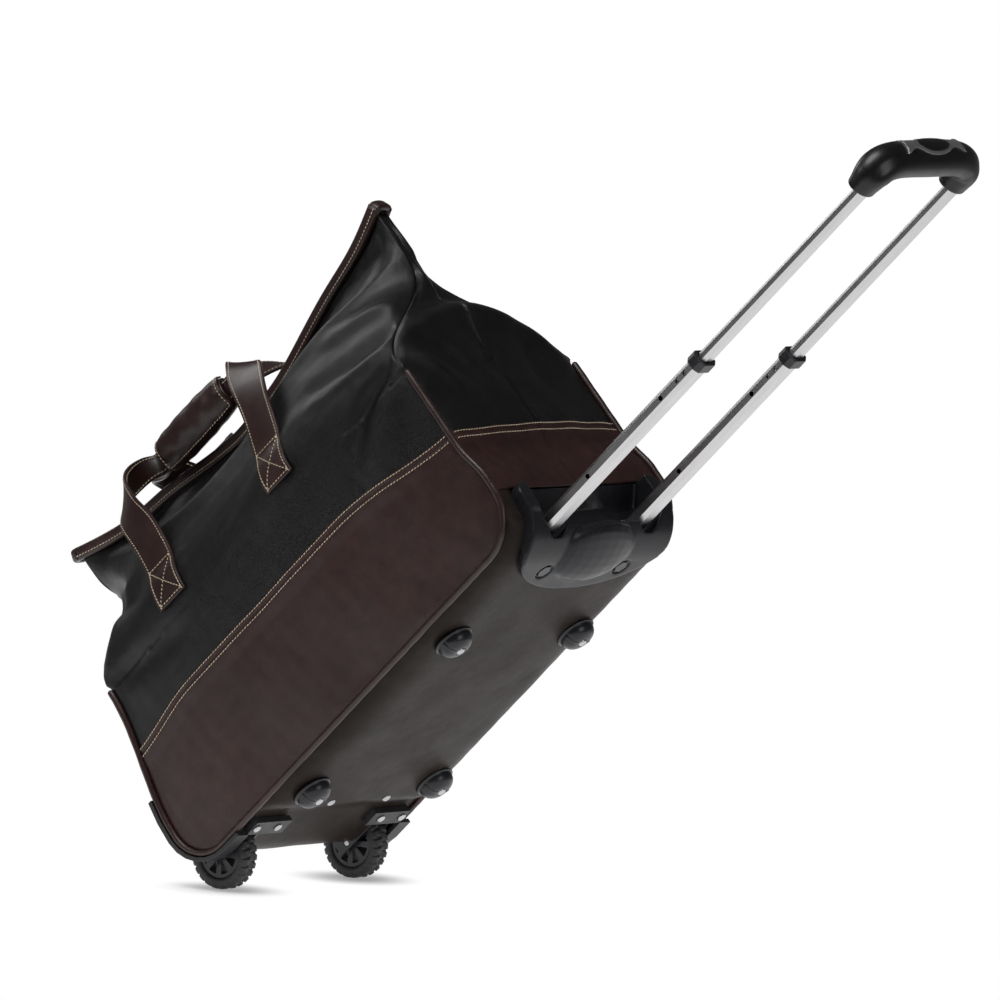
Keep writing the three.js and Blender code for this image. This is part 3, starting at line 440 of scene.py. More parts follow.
def thread(name, dark, light):
    """Twisted sewing thread with a soft shine."""
    tree = Shading(name)
    at = tree.coordinates()
    fibres = tree.noise(at, 2600, 3)
    tree.drive("Base Color", tree.ramp(tree.noise(at, 90, 3), [(0.35, dark), (0.7, light)]))
    tree.drive("Normal", tree.bump(fibres, 0.5, 0.0001))
    tree.drive("Roughness", tree.ramp(fibres, [(0.3, 0.55), (0.7, 0.75)]))
    tree.fix("Sheen Weight", 0.2)
    return tree.material


def woven(name, dark, light):
    """Zip tape: a tight weave."""
    tree = Shading(name)
    at = tree.coordinates()
    weave = tree.add("TexWave", at, Scale=700, Distortion=1.2).outputs["Fac"]
    tree.drive("Base Color", tree.ramp(weave, [(0.2, dark), (0.8, light)]))
    tree.drive("Normal", tree.bump(weave, 0.5, 0.0002))
    tree.drive("Roughness", tree.ramp(tree.noise(at, 200), [(0.3, 0.75), (0.7, 0.95)]))
    return tree.material


BLACK_LEATHER = leather("black_leather", (0.0035, 0.0035, 0.004), (0.007, 0.007, 0.008),
                        (0.012, 0.012, 0.0135), rough=(0.33, 0.42), depth=0.5, coat=0.05, shine=0.42)
BROWN_LEATHER = leather("brown_leather", (0.034, 0.0125, 0.0115), (0.05, 0.019, 0.0175),
                        (0.058, 0.024, 0.022), rough=(0.38, 0.48), grain=760, depth=0.28, coat=0.06)
BASE_LEATHER = leather("base_leather", (0.021, 0.0155, 0.013), (0.031, 0.0235, 0.02),
                       (0.036, 0.028, 0.024), rough=(0.36, 0.46), grain=900, depth=0.16, coat=0.0,
                       shine=0.09)
BROWN_TRIM = leather("brown_trim", (0.028, 0.011, 0.010), (0.045, 0.019, 0.0175),
                     (0.06, 0.028, 0.025), rough=(0.28, 0.42), grain=900, depth=0.2, coat=0.25)
BLACK_PLASTIC = plastic("black_plastic", (0.02, 0.021, 0.024), (0.032, 0.033, 0.037))
GRIP_PLASTIC = plastic("grip_plastic", (0.005, 0.005, 0.006), (0.01, 0.01, 0.011), (0.3, 0.42))
CUP_PLASTIC = plastic("cup_plastic", (0.013, 0.0135, 0.0165), (0.02, 0.0205, 0.025), (0.27, 0.36),
                      shine=0.22)
FOOT_PLASTIC = plastic("foot_plastic", (0.012, 0.0125, 0.015), (0.02, 0.021, 0.025), (0.28, 0.34),
                       coat=0.1, shine=0.35)
RUBBER = plastic("rubber", (0.02, 0.02, 0.022), (0.034, 0.034, 0.037), (0.42, 0.55), 700, 0.3)
TYRE = plastic("tyre", (0.02, 0.02, 0.022), (0.034, 0.034, 0.037), (0.42, 0.56), 600, 0.35)
BOARD = plastic("board", (0.2, 0.17, 0.13), (0.3, 0.26, 0.21), (0.85, 0.95), 500, 0.5)
POLISHED = metal("polished", (0.6, 0.59, 0.6), (0.67, 0.66, 0.67), (0.31, 0.35), (1, 6, 6), 0.02, 30)
SATIN = metal("satin_silver", (0.66, 0.66, 0.67), (0.8, 0.8, 0.82), (0.34, 0.44), depth=0.02)
STEEL = metal("steel", (0.42, 0.42, 0.44), (0.66, 0.66, 0.68), (0.28, 0.36), depth=0.1)
ZINC = metal("galvanised", (0.25, 0.26, 0.27), (0.45, 0.46, 0.48), (0.4, 0.6), (1, 20, 20), 0.2)
CREAM = thread("cream_thread", (0.6, 0.48, 0.32), (0.82, 0.7, 0.52))
TAPE = woven("zip_tape", (0.006, 0.006, 0.007), (0.016, 0.016, 0.018))
DARK_TEETH = metal("dark_teeth", (0.03, 0.03, 0.032), (0.07, 0.07, 0.075), (0.3, 0.45))


# ---------------- stitches
def along_path(table, along, at):
    """Rows of the table, whose rows lie at the distances in along, at other distances."""
    return np.stack([np.interp(at, along, table[:, k]) for k in range(3)], -1)


def stitches(name, paths, body):
    """Thread stitches along (points, normals) paths: each dives in at its ends and lies at a slant."""
    points, faces = [], []
    ring = circle(1, STITCH["sides"])
    spine = [(-0.5, -0.45, 0.5), (-0.38, 0.1, 0.9), (0, 0.3, 1.0), (0.38, 0.1, 0.9), (0.5, -0.45, 0.5)]
    one_stitch = capped(len(spine), len(ring))
    for path, normals in paths:
        path, normals = np.asarray(path, float), unit(np.asarray(normals, float))
        along = np.concatenate([[0], np.cumsum(np.linalg.norm(np.diff(path, axis=0), axis=1))])
        count = max(1, round(along[-1] / STITCH["pitch"]))
        centres = (np.arange(count) + 0.5) * along[-1] / count
        at = along_path(path, along, centres)
        ahead = unit(along_path(path, along, np.minimum(centres + 1, along[-1]))
                     - along_path(path, along, np.maximum(centres - 1, 0)))
        up = unit(along_path(normals, along, centres))
        across = unit(np.cross(up, ahead))
        for c, a, n, w in zip(at, ahead, up, across):
            start = len(points)
            for step, height, girth in spine:
                lift = height * STITCH["radius"] * 2 + STITCH["lift"]
                middle = c + a * step * STITCH["length"] + n * lift + w * step * STITCH["slant"]
                points.extend(middle + STITCH["radius"] * girth * (w * x + n * y) for x, y in ring)
            faces += [tuple(start + v for v in face) for face in one_stitch]
    piece(name, np.array(points), faces, CREAM, body)


# ---------------- the outline of the bag
def half_length(end, z):
    """Half length of the bag at height z, at one end."""
    if end == "handle":
        return BAG_HALF - TAPER["handle"] * smooth(z, 95, 140) - 4 * smooth(z, PIPE_TOP, 440)
    tapered = BAG_HALF - TAPER["wheel"] * smooth(z, 75, PIPE_TOP)
    return tapered + (RIM_TIP["wheel"] - BAG_HALF + TAPER["wheel"]) * smooth(z, PIPE_TOP, 430)


def rim_lift(x):
    """The soft rim wanders a little from its arc: it rises beside both carry handles."""
    x = np.asarray(x, float)
    return (9 * np.exp(-((x - 140) / 65) ** 2) + 6.5 * np.exp(-((x + 120) / 50) ** 2)
            - 2 * np.exp(-((x + 15) / 30) ** 2))


def rim_point(x, depth):
    """(x, z) at a depth below the top of the rim, above x."""
    a = np.arcsin((np.asarray(x, float) - RIM_X) / RIM_R)
    r = RIM_R + depth
    return RIM_X + r * np.sin(a), RIM_CENTRE - r * np.cos(a) + rim_lift(x)


def under_rim(x):
    drop = np.sqrt((RIM_R + RIM_TALL) ** 2 - (np.asarray(x, float) - RIM_X) ** 2)
    return RIM_CENTRE - drop - 1 + rim_lift(x)


def closing(x, z):
    """How far the mouth has closed: 0 at the piping's top, 1 under the rim."""
    return (z - PIPE_TOP) / (under_rim(x) - PIPE_TOP)


def side_distance(p, x, z):
    """Distance of a side panel from the middle plane, p in [-1, 1] along the bag."""
    end = p ** 4
    swell = SIDE_BULGE * (1 - end) * np.sin(np.pi * np.clip((z - PIPE_Z) / SWELL_TALL, 0, 1))
    at_top = SIDE_BULGE * (1 - end) * np.sin(np.pi * (PIPE_TOP - PIPE_Z) / SWELL_TALL)
    h = np.clip(closing(x, z), 0, 1)
    middle, ends = MOUTH_HALF["middle"], MOUTH_HALF["ends"]
    gable = middle + (SIDE_Y + at_top - middle) * (1 - h ** 2.2)
    pinched = ends + (SIDE_Y - ends) * (1 - smooth(h, *PINCH))
    return np.where(z <= PIPE_TOP, SIDE_Y + swell, gable + (pinched - gable) * end)


def edge_gap(z):
    """Panels stop at the piping; above its top they meet in a seam."""
    return TUCK * (1 - smooth(z, PIPE_TOP - 2, PIPE_TOP + 10))


def panel_half(end, z):
    r = CORNER_R[end]
    top = PIPE_Z + r
    drop = np.clip(top - z, 0, r - TUCK)
    low = BAG_HALF - r + np.sqrt((r - TUCK) ** 2 - drop ** 2)
    return np.where(z >= top, half_length(end, z) - edge_gap(z), low)


def seam_z(x):
    handle = (SEAM_Z["middle"] - SEAM_Z["handle"]) * smooth(x, 110, BAG_HALF)
    wheel = (SEAM_Z["middle"] - SEAM_Z["wheel"]) * smooth(-x, 170, BAG_HALF)
    return SEAM_Z["middle"] - handle - wheel


# ---------------- folds of the soft leather
# Each fold is (width, sharp, [(along, height, rise) ...]) on a panel: a ridge where rise is above 0.
SIDE_FOLDS = {
    "front": [
        (11, True, [(-236, 404, 1), (-161, 356, 7), (-93, 331, 10), (-33, 324, 10), (23, 334, 10),
                    (89, 351, 10), (150, 363, 9), (208, 372, 7), (254, 390, 2)]),
        (17, False, [(-225, 420, -2), (-150, 380, -9), (-80, 356, -13), (-10, 351, -13), (60, 364, -13),
                     (140, 387, -12), (200, 402, -9), (246, 421, -3)]),
        (9, False, [(257, 313, 3), (244, 331, 7), (224, 342, 7), (190, 347, 5), (150, 352, 1)]),
        (11, False, [(258, 302, -4), (238, 300, -8), (210, 299, -8), (170, 304, -5), (120, 312, -1)]),
        (8, False, [(258, 281, 2), (228, 281, 5), (190, 287, 4), (140, 296, 1)]),
        (11, False, [(259, 263, -4), (239, 254, -7), (208, 245, -7), (182, 230, -5), (160, 205, -1)]),
        (20, False, [(250, 238, 3), (225, 222, 5), (195, 200, 4), (150, 190, 0)]),
        (16, False, [(60, 300, 0), (10, 285, -3), (-50, 262, -3), (-110, 236, 0)]),
        (14, False, [(140, 320, 0), (100, 290, 3), (60, 255, 3), (10, 225, 0)]),
        (12, False, [(-238, 372, -2), (-215, 330, -9), (-195, 306, -7), (-160, 300, -2)]),
        (14, False, [(-150, 340, 1), (-180, 318, 6), (-205, 290, 6), (-225, 262, 2)]),
        (14, False, [(-236, 250, 0), (-200, 235, -4), (-150, 228, -3), (-100, 220, 0)]),
    ],
    "back": [
        (12, True, [(-236, 402, 1), (-150, 354, 7), (-70, 332, 10), (10, 336, 10), (100, 354, 10),
                    (190, 372, 7), (254, 392, 2)]),
        (18, False, [(-225, 418, -2), (-120, 374, -9), (-20, 355, -12), (90, 374, -12), (180, 396, -10),
                     (246, 421, -3)]),
        (12, False, [(258, 306, -3), (215, 296, -7), (160, 306, -4), (110, 316, 0)]),
        (10, False, [(258, 330, 2), (220, 334, 6), (170, 338, 4), (120, 344, 0)]),
        (12, False, [(259, 262, -4), (225, 250, -6), (185, 228, -4), (150, 200, 0)]),
        (22, False, [(200, 230, 0), (120, 250, 5), (20, 252, 6), (-80, 246, 5), (-180, 236, 0)]),
        (13, False, [(-238, 360, -2), (-205, 322, -8), (-170, 300, -5), (-130, 296, -1)]),
        (14, False, [(-170, 330, 1), (-200, 292, 6), (-226, 262, 2)]),
    ],
}
END_FOLDS = {
    "handle": [
        (14, False, [(-95, 292, 2), (-40, 300, 6), (10, 304, 7), (60, 292, 7), (100, 268, 5),
                     (118, 236, 2)]),
        (12, False, [(-80, 306, -1), (-45, 322, -5), (0, 332, -6), (45, 324, -5), (90, 300, -1)]),
        (9, False, [(-5, 430, 2), (-1, 414, 6), (4, 396, 3)]),
        (12, False, [(-118, 262, 2), (-100, 250, 5), (-84, 226, 4), (-76, 196, 0)]),
        (14, False, [(-96, 278, -1), (-70, 262, -5), (-52, 236, -5), (-44, 205, 0)]),
        (14, False, [(98, 276, -1), (74, 252, -4), (60, 226, -4), (52, 200, 0)]),
        (16, False, [(20, 282, 0), (6, 262, -3), (-4, 230, -3), (-4, 200, 0)]),
    ],
    "wheel": [
        (20, False, [(-90, 320, -4), (-40, 332, -10), (0, 338, -12), (40, 332, -10), (90, 320, -4)]),
        (20, False, [(-110, 262, 3), (-50, 268, 5), (0, 272, 6), (50, 268, 5), (110, 262, 3)]),
        (7, False, [(-4, 412, 2), (-14, 376, 4), (-34, 350, 3)]),
        (8, False, [(4, 404, -2), (10, 372, -4), (24, 346, -2)]),
        (14, False, [(-70, 300, 0), (-46, 262, -5), (-40, 222, -4), (-44, 190, 0)]),
        (14, False, [(76, 300, 0), (52, 258, -5), (46, 220, -4), (50, 186, 0)]),
    ],
}


def fold_height(folds, a, b):
    """Rise of a panel at (a, b) = (along, height) from all its folds."""
    total = np.zeros(np.shape(a))
    for width, sharp, stops in folds:
        line = curve_through(stops, 10 * len(stops))
        best = np.full(np.shape(a), 1e9)
        rise = np.zeros(np.shape(a))
        for (a0, b0, r0), (a1, b1, r1) in zip(line[:-1], line[1:]):
            span = max((a1 - a0) ** 2 + (b1 - b0) ** 2, 1e-9)
            t = np.clip(((a - a0) * (a1 - a0) + (b - b0) * (b1 - b0)) / span, 0, 1)
            d = np.hypot(a - a0 - t * (a1 - a0), b - b0 - t * (b1 - b0))
            nearer = d < best
            best = np.where(nearer, d, best)
            rise = np.where(nearer, r0 + t * (r1 - r0), rise)
        if sharp:
            total += rise * np.exp(-(np.sqrt(best ** 2 + 9) - 3) / width)
        else:
            total += rise * np.exp(-(best / width) ** 2)
    return total


def offset_along_normal(base, u, v, rise):
    """Points of the surface base(u, v), moved by rise along its outward normal."""
    at = base(u, v)
    step = 1e-3
    du = base(u + step, v) - base(u - step, v)
    dv = base(u, v + step * 100) - base(u, v - step * 100)
    normal = unit(np.cross(du, dv))
    away = at - np.array([0, 0, 190.0])
    normal = normal * np.where((normal * away).sum(-1, keepdims=True) < 0, -1, 1)
    return at + normal * np.asarray(rise)[..., None], normal


def corner_pull(at, edge):
    """The soft corners above the piping cave in, which leaves a deep crease along their seams."""
    x, y, z = at[..., 0], at[..., 1], at[..., 2]
    depth = np.where(x > 0, 11, 7) * smooth(z, PIPE_TOP + 4, PIPE_TOP + 34) * (1 - smooth(z, 345, 396))
    inward = -np.stack([np.sign(x), y / np.maximum(np.abs(y), 6), 0 * x], -1) / math.sqrt(2)
    return inward * (depth * np.exp(-edge / 8))[..., None]


def side_base(side):
    def at(p, z):
        x = p * np.where(p >= 0, panel_half("handle", z), panel_half("wheel", z))
        return np.stack([x, SIDES[side] * side_distance(p, x, z), z], -1)
    return at


def side_surface(side, p, z, raised=0.0):
    """Finished leather of a side panel: folds, soft unevenness and a gutter along the piping."""
    base = side_base(side)
    at = base(p, z)
    x = at[..., 0]
    end = np.where(p >= 0, panel_half("handle", z), panel_half("wheel", z)) - np.abs(x)
    edge = np.minimum(end, 1.2 * np.maximum(z - PIPE_Z, 0))
    calm = smooth(edge, 0, 14)
    rise = fold_height(SIDE_FOLDS[side], x, z) * calm
    rise += ripple(at, 70, 0.8, 3 if side == "front" else 4) * calm
    rise += ripple(at, 24, 0.14, 5) * calm
    rise -= 1.8 * np.exp(-edge / GUTTER) * (z < PIPE_TOP + 6)
    points, normals = offset_along_normal(base, p, z, rise + raised)
    return points + corner_pull(at, end), normals


def end_base(end):
    sign = ENDS[end]
    def at(q, z):
        half = half_length(end, z)
        width = side_distance(np.ones_like(z), sign * half, z) - edge_gap(z)
        fade = smooth(z, 90, 180) * (1 - smooth(z, 300, 360))
        swell = END_BULGE[end] * (1 - q ** 2) * fade
        return np.stack([sign * (half + swell), q * width, z], -1)
    return at


def end_surface(end, q, z, raised=0.0):
    base = end_base(end)
    at = base(q, z)
    width = np.abs(at[..., 1]) / np.maximum(np.abs(q), 1e-3)
    edge = width * (1 - np.abs(q))
    calm = smooth(edge, 0, 12)
    folds = fold_height(END_FOLDS[end], at[..., 1], z)
    rise = folds * np.maximum(calm, 0.35 * (z > PIPE_TOP + 60))
    rise = np.where(np.abs(q) > 0.999, 0, rise)
    rise += (ripple(at, 60, 0.7, 8) + ripple(at, 22, 0.14, 9)) * calm
    rise -= 1.8 * np.exp(-edge / GUTTER) * (z < PIPE_TOP + 6)
    points, normals = offset_along_normal(base, q, z, rise + raised)
    return points + corner_pull(at, edge), normals


def lapped(distance):
    """Rise of the brown leather near its top edge, with the ditch between the two rows of stitches."""
    lap = LAP_STEP * (1 - smooth(distance, 10, 26))
    ditch = -0.7 * np.exp(-((distance - SEAM_LAP - SEAM_ROWS / 2) / 1.6) ** 2)
    return lap + ditch


PANEL_LEATHER = {"lower": (BROWN_LEATHER, "brown_leather"), "upper": (BLACK_LEATHER, "black_leather")}


def panel(name, part, points, outward):
    """The upper or lower leather of a panel through a grid of points, thickened inwards."""
    node = f"{name}_{part}" if name.endswith("_end") else f"{name}_panel_{part}"
    made = piece(f"{name}_{part}_leather", points, grid_faces(*points.shape[:2]),
                 PANEL_LEATHER[part][0], "bag", [node], outward=outward)
    thicken(made, LEATHER)


def side_leather(side):
    """The brown and the black leather of a side panel.  Gives the stitch rows of its seam."""
    p = spread(*ALONG)[:, None]
    outward = (0, SIDES[side], 0)
    top = seam_z(p * BAG_HALF) + SEAM_LAP
    low = PIPE_Z + TUCK
    z = low + (top - low) * spread((0, 0.06, 8), (0.06, 0.8, 40), (0.8, 1, 26))[None]
    points, _ = side_surface(side, p + 0 * z, z, lapped(top - z))
    panel(side, "lower", points, outward)
    start = seam_z(p * BAG_HALF) - 6
    tip = p * np.where(p >= 0, RIM_TIP["handle"], RIM_TIP["wheel"]) - np.sign(p) * 4
    z = start + (under_rim(tip) + 3 - start) * np.linspace(0, 1, 120)[None]
    points, _ = side_surface(side, p + 0 * z, z)
    panel(side, "upper", points, outward)
    line = np.linspace(-0.992, 0.992, 400)
    edge = seam_z(line * BAG_HALF) + SEAM_LAP
    return [side_surface(side, line, edge - d, lapped(d)) for d in (SEAM_LAP, SEAM_LAP + SEAM_ROWS)]


def end_leather(end):
    """The brown and the black leather of an end panel.  Gives the stitch rows of its seam."""
    q = spread(*ACROSS)[:, None]
    outward = (ENDS[end], 0, 0)
    base = PIPE_Z + CORNER_R[end] + (2 if end == "wheel" else -2)
    top = SEAM_Z[end] + SEAM_LAP
    z = base + (top - base) * spread((0, 0.7, 24), (0.7, 1, 24))[None] + 0 * q
    points, _ = end_surface(end, q + 0 * z, z, lapped(top - z))
    panel(f"{end}_end", "lower", points, outward)
    finish = under_rim(ENDS[end] * RIM_TIP[end]) + 2
    z = np.linspace(SEAM_Z[end] - 6, finish, 150)[None] + 0 * q
    points, _ = end_surface(end, q + 0 * z, z)
    panel(f"{end}_end", "upper", points, outward)
    line = np.linspace(-0.97, 0.97, 200)
    edge = np.full_like(line, top)
    return [end_surface(end, line, edge - d, lapped(d)) for d in (SEAM_LAP, SEAM_LAP + SEAM_ROWS)]


seam_paths = []
for side in SIDES:
    seam_paths += side_leather(side)
for end in ENDS:
    seam_paths += end_leather(end)
stitches("seam_stitches", seam_paths, "bag")


# ---------------- base and piping
def base_line(wheel_top, handle_top, fine=1):
    """(x, z, nx, nz) along the base, from the wheel end round to the handle end."""
    line = []
    wheel_z = PIPE_Z + CORNER_R["wheel"]
    handle_z = PIPE_Z + CORNER_R["handle"]
    for z in np.linspace(wheel_top, wheel_z, max(2, int(fine * (wheel_top - wheel_z) / 8)) + 1)[:-1]:
        line.append((-half_length("wheel", z), z, -1, 0))
    for a in np.linspace(math.pi, 1.5 * math.pi, 16):
        r = CORNER_R["wheel"]
        line.append((-BAG_HALF + r + r * math.cos(a), wheel_z + r * math.sin(a),
                     math.cos(a), math.sin(a)))
    for x in spread((-224, -208, 4), (-208, -140, 18), (-140, 180, 44), (180, 214, 8)):
        line.append((x, PIPE_Z, 0, -1))
    for a in np.linspace(1.5 * math.pi, 2 * math.pi, 16):
        r = CORNER_R["handle"]
        line.append((BAG_HALF - r + r * math.cos(a), handle_z + r * math.sin(a),
                     math.cos(a), math.sin(a)))
    for z in np.linspace(handle_z, handle_top, max(2, int(fine * (handle_top - handle_z) / 8)) + 1)[1:]:
        line.append((half_length("handle", z), z, 1, 0))
    return np.array(line)


def base_drop(x, y):
    """How far the base hangs below the piping."""
    q = np.abs(y) / SIDE_Y
    shape = smooth(x, -184, -150) * (1 - smooth(x, 255, 270.5))
    sag = 4 * np.exp(-((x + 10) / 110) ** 2) * (1 - q ** 2)
    return (BASE_DROP * (1 - q ** 10) + sag) * shape


def base_leather():
    slot_in, slot_out = WHEEL_SLOT["y"]
    line = base_line(PIPE_Z + CORNER_R["wheel"] + 4, PIPE_Z + CORNER_R["handle"] + 1, 2)
    across = np.array(sorted([*spread((-SIDE_Y + TUCK, -123, 8), (-123, 123, 46),
                                      (123, SIDE_Y - TUCK, 8)), -slot_out, -slot_in, slot_in,
                              slot_out]))
    x, z, nx, nz = (line[:, k, None] + 0 * across for k in range(4))
    y = across + 0 * x
    flat = np.stack([x, y, z], -1)
    edge = SIDE_Y - np.abs(y)
    out = base_drop(x, y) + ripple(flat, 80, 0.5, 12) * smooth(edge, 2, 20)
    out -= 1.6 * np.exp(-(edge - TUCK) / GUTTER)
    points = flat + np.stack([nx * out, 0 * x, nz * out], -1)
    faces = []
    for face in grid_faces(*x.shape):
        cx = np.mean([x.flat[v] for v in face])
        cy = abs(np.mean([y.flat[v] for v in face]))
        under_cup = cx > CUP["middle"] - CUP["nose"] and math.hypot(
            min(cx - CUP["middle"], 0) / (CUP["nose"] - CUP_LIP), cy / (CUP["y"] - CUP_LIP)) < 1
        over_wheel = cx < WHEEL_SLOT["x"] and slot_in < cy < slot_out
        if not (under_cup or over_wheel):
            faces.append(face)
    made = piece("base_leather", points, faces, BASE_LEATHER, "bag", ["base_panel"],
                 outward=(0, 0, -1))
    thicken(made, LEATHER)


base_leather()
dress("base_board", BOARD, 1.0)


def piping(side):
    """Cord along the edge of a side panel, tapered to a blunt point at its two ends."""
    line = base_line(PIPE_TOP - 2, PIPE_TOP - 2)
    path = np.stack([line[:, 0], np.full(len(line), SIDES[side] * SIDE_Y), line[:, 1]], 1)
    out = np.stack([line[:, 2], 0 * line[:, 2], line[:, 3]], 1)
    cap = [(0.5, 3.4), (0.85, 2.2)]
    path = np.vstack([[path[0] + (0, 0, d) for _, d in cap], path,
                      [path[-1] + (0, 0, d) for _, d in reversed(cap)]])
    out = np.vstack([out[:1], out[:1], out, out[-1:], out[-1:]])
    scale = np.concatenate([[k for k, _ in cap], np.ones(len(line)), [k for k, _ in reversed(cap)]])
    scale *= 1 + 0.04 * np.sin(np.arange(len(scale)) * 1.7)
    sweep(f"{side}_piping_cord", path, out, np.tile([0, 1.0, 0], (len(path), 1)), circle(PIPE_R, 14),
          BROWN_TRIM, "bag", [f"{side}_piping"], scale)


for side in SIDES:
    piping(side)


# ---------------- mouth: rims, zip teeth, end tabs
def rim_binding(side):
    """Leather folded over the edge of the mouth, with its row of stitches."""
    x = np.linspace(-RIM_TIP["wheel"], RIM_TIP["handle"], 160)
    wander = 0.5 * np.sin(x / 31) + 0.3 * np.sin(x / 13 + 1)
    rx, rz = rim_point(x, RIM_TALL / 2)
    tx, tz = rim_point(x, 0)
    up = unit(np.stack([tx - rx, 0 * x, tz - rz], 1))
    thick = RIM_Y[1] - RIM_Y[0]
    path = np.stack([rx, SIDES[side] * (sum(RIM_Y) / 2 + wander), rz], 1)
    across = np.tile([0, 1.0, 0], (len(x), 1))
    sweep(f"{side}_rim_binding", path, across, up, rounded_box(thick, RIM_TALL, 3.4, 5), BROWN_TRIM,
          "bag", [f"{side}_rim"])
    face = path + across * SIDES[side] * thick / 2 - up * 2.6
    stitches(f"{side}_rim_stitches", [(face, across * SIDES[side])], "bag")


for side in SIDES:
    rim_binding(side)
    dress(f"{side}_zip_tape", TAPE, 0)


def zip_teeth():
    points, faces = [], []
    block = np.array([(a, b, c) for a in (-0.62, 0.62) for b in (-1.5, 1.5) for c in (-1.0, 1.0)])
    block[:, 1] *= np.where(block[:, 2] > 0, 0.8, 1)
    sides = [(0, 1, 3, 2), (4, 6, 7, 5), (0, 4, 5, 1), (2, 3, 7, 6), (0, 2, 6, 4), (1, 5, 7, 3)]
    for i, x in enumerate(np.arange(-252, 250, ZIP_PITCH)):
        if abs(x - SLIDER["x"]) < SLIDER["half"]:
            continue
        cx, cz = rim_point(x, 3.4)
        tilt = math.asin((cx - RIM_X) / RIM_R)
        turn = np.array(Matrix.Rotation(-tilt, 3, "Y"))
        start = len(points)
        points.extend(turn @ v + (cx, (-0.7, 0.7)[i % 2], cz) for v in block)
        faces += [tuple(start + v for v in face) for face in sides]
    teeth = piece("zip_teeth", np.array(points), faces, DARK_TEETH, "bag")
    round_edges(teeth, 0.2, 1)


zip_teeth()


def rim_tab(end):
    """Bound end of the mouth: the binding turns round the end of the zip."""
    sign = ENDS[end]
    x0 = sign * (RIM_TIP[end] - 1)
    ring, reach = (8.8, 2.4 if end == "handle" else 8.8)
    cx, cz = rim_point(x0, RIM_TALL / 2)
    tx, tz = rim_point(x0, 0)
    up = unit(np.array([tx - cx, 0, tz - cz]))
    ahead = unit(np.array([up[2], 0, -up[0]])) * sign
    a = np.linspace(-math.pi / 2, math.pi / 2, 24)
    path = np.array([(cx, ring * math.sin(t), cz) + ahead * reach * math.cos(t) for t in a])
    along = unit(np.gradient(path, axis=0))
    side = unit(np.cross(along, up))
    sweep(f"{end}_rim_tab", path, side, np.tile(up, (len(a), 1)),
          rounded_box(7.6, RIM_TALL - 0.6, 3.2, 5), BROWN_TRIM, "bag")


for end in ENDS:
    rim_tab(end)
dress("zip_slider", SATIN, 0.5)
dress("zip_pull", SATIN, 0.4)


# ---------------- carry handles
def strap_stops(side):
    """(centre, across, half width) along a strap, from its foot by the trolley to the other foot."""
    s = SIDES[side]
    stops = []

    def on_panel(x, z):
        end = "handle" if x >= 0 else "wheel"
        at, _ = side_surface(side, np.array([x / panel_half(end, z)]), np.array([float(z)]))
        return at[0][1] + s * (STRAP["thick"] / 2 + 0.5)

    handle_x, wheel_x = STRAP["legs"]
    feet = [STRAP["foot"], 266, 281, STRAP["free"]]
    for z in feet:
        stops.append(((handle_x, on_panel(handle_x, z), z), (1, 0, 0), STRAP["half"]))
    core = WRAP["y"] + s * 3.2
    if side == "front":
        shoulder = [(77, -112, 342), (71, -86, 387), (58, -57, 416), (34, -33, 424)]
        drop = [(-123, -36, 426), (-132, -67, 412), (-128, -96, 381), (-115, -114, 340)]
    else:
        shoulder = [(76, 102, 342), (70, 66, 388), (56, 24, 415), (34, -4, 425)]
        drop = [(-124, -5, 430), (-138, 14, 438), (-138, 53, 417), (-117, 98, 354)]
    turn = [(1, 0, 0), (1, -0.3 * s, -0.1), (0.75, -0.6 * s, -0.5), (0.3, -0.3 * s, -0.9)]
    halves = [STRAP["half"], STRAP["half"], 17, 13]
    for at, w, half in zip(shoulder, turn, halves):
        stops.append((at, w, half))
    x0, x1 = WRAP["x0"], WRAP["x1"]
    for x in (x1 + 9, x1 - 4, (x0 + x1) / 2, x0 + 4, x0 - 9):
        stops.append(((x, core, WRAP["z"]), (0, 0, -1), STRAP["neck"]))
    for at, w, half in zip(drop, reversed(turn), reversed(halves)):
        stops.append((at, (-w[0], w[1], w[2]), half))
    for z in reversed(feet):
        stops.append(((wheel_x, on_panel(wheel_x, z), z), (-1, 0, 0), STRAP["half"]))
    return stops


def box_stitches(path, normal):
    """Rows of a sewn box with its cross, on a strap foot whose points go upwards."""
    x = path[0 if path[0, 2] - STRAP["foot"] < 1 else -1, 0]
    z0, z1 = STRAP["foot"] + 3, STRAP["free"] + 1
    corners = [(x - 17, z0), (x + 17, z0), (x + 17, z1), (x - 17, z1)]
    paths = []
    for start, end in ((0, 1), (1, 2), (2, 3), (3, 0), (0, 2), (1, 3)):
        px, pz = np.linspace(corners[start], corners[end], 12).T
        y = np.interp(pz, path[:, 2], path[:, 1])
        n = along_path(normal, path[:, 2], pz)
        paths.append((np.stack([px, y, pz], 1) + n * (STRAP["thick"] / 2), n))
    return paths


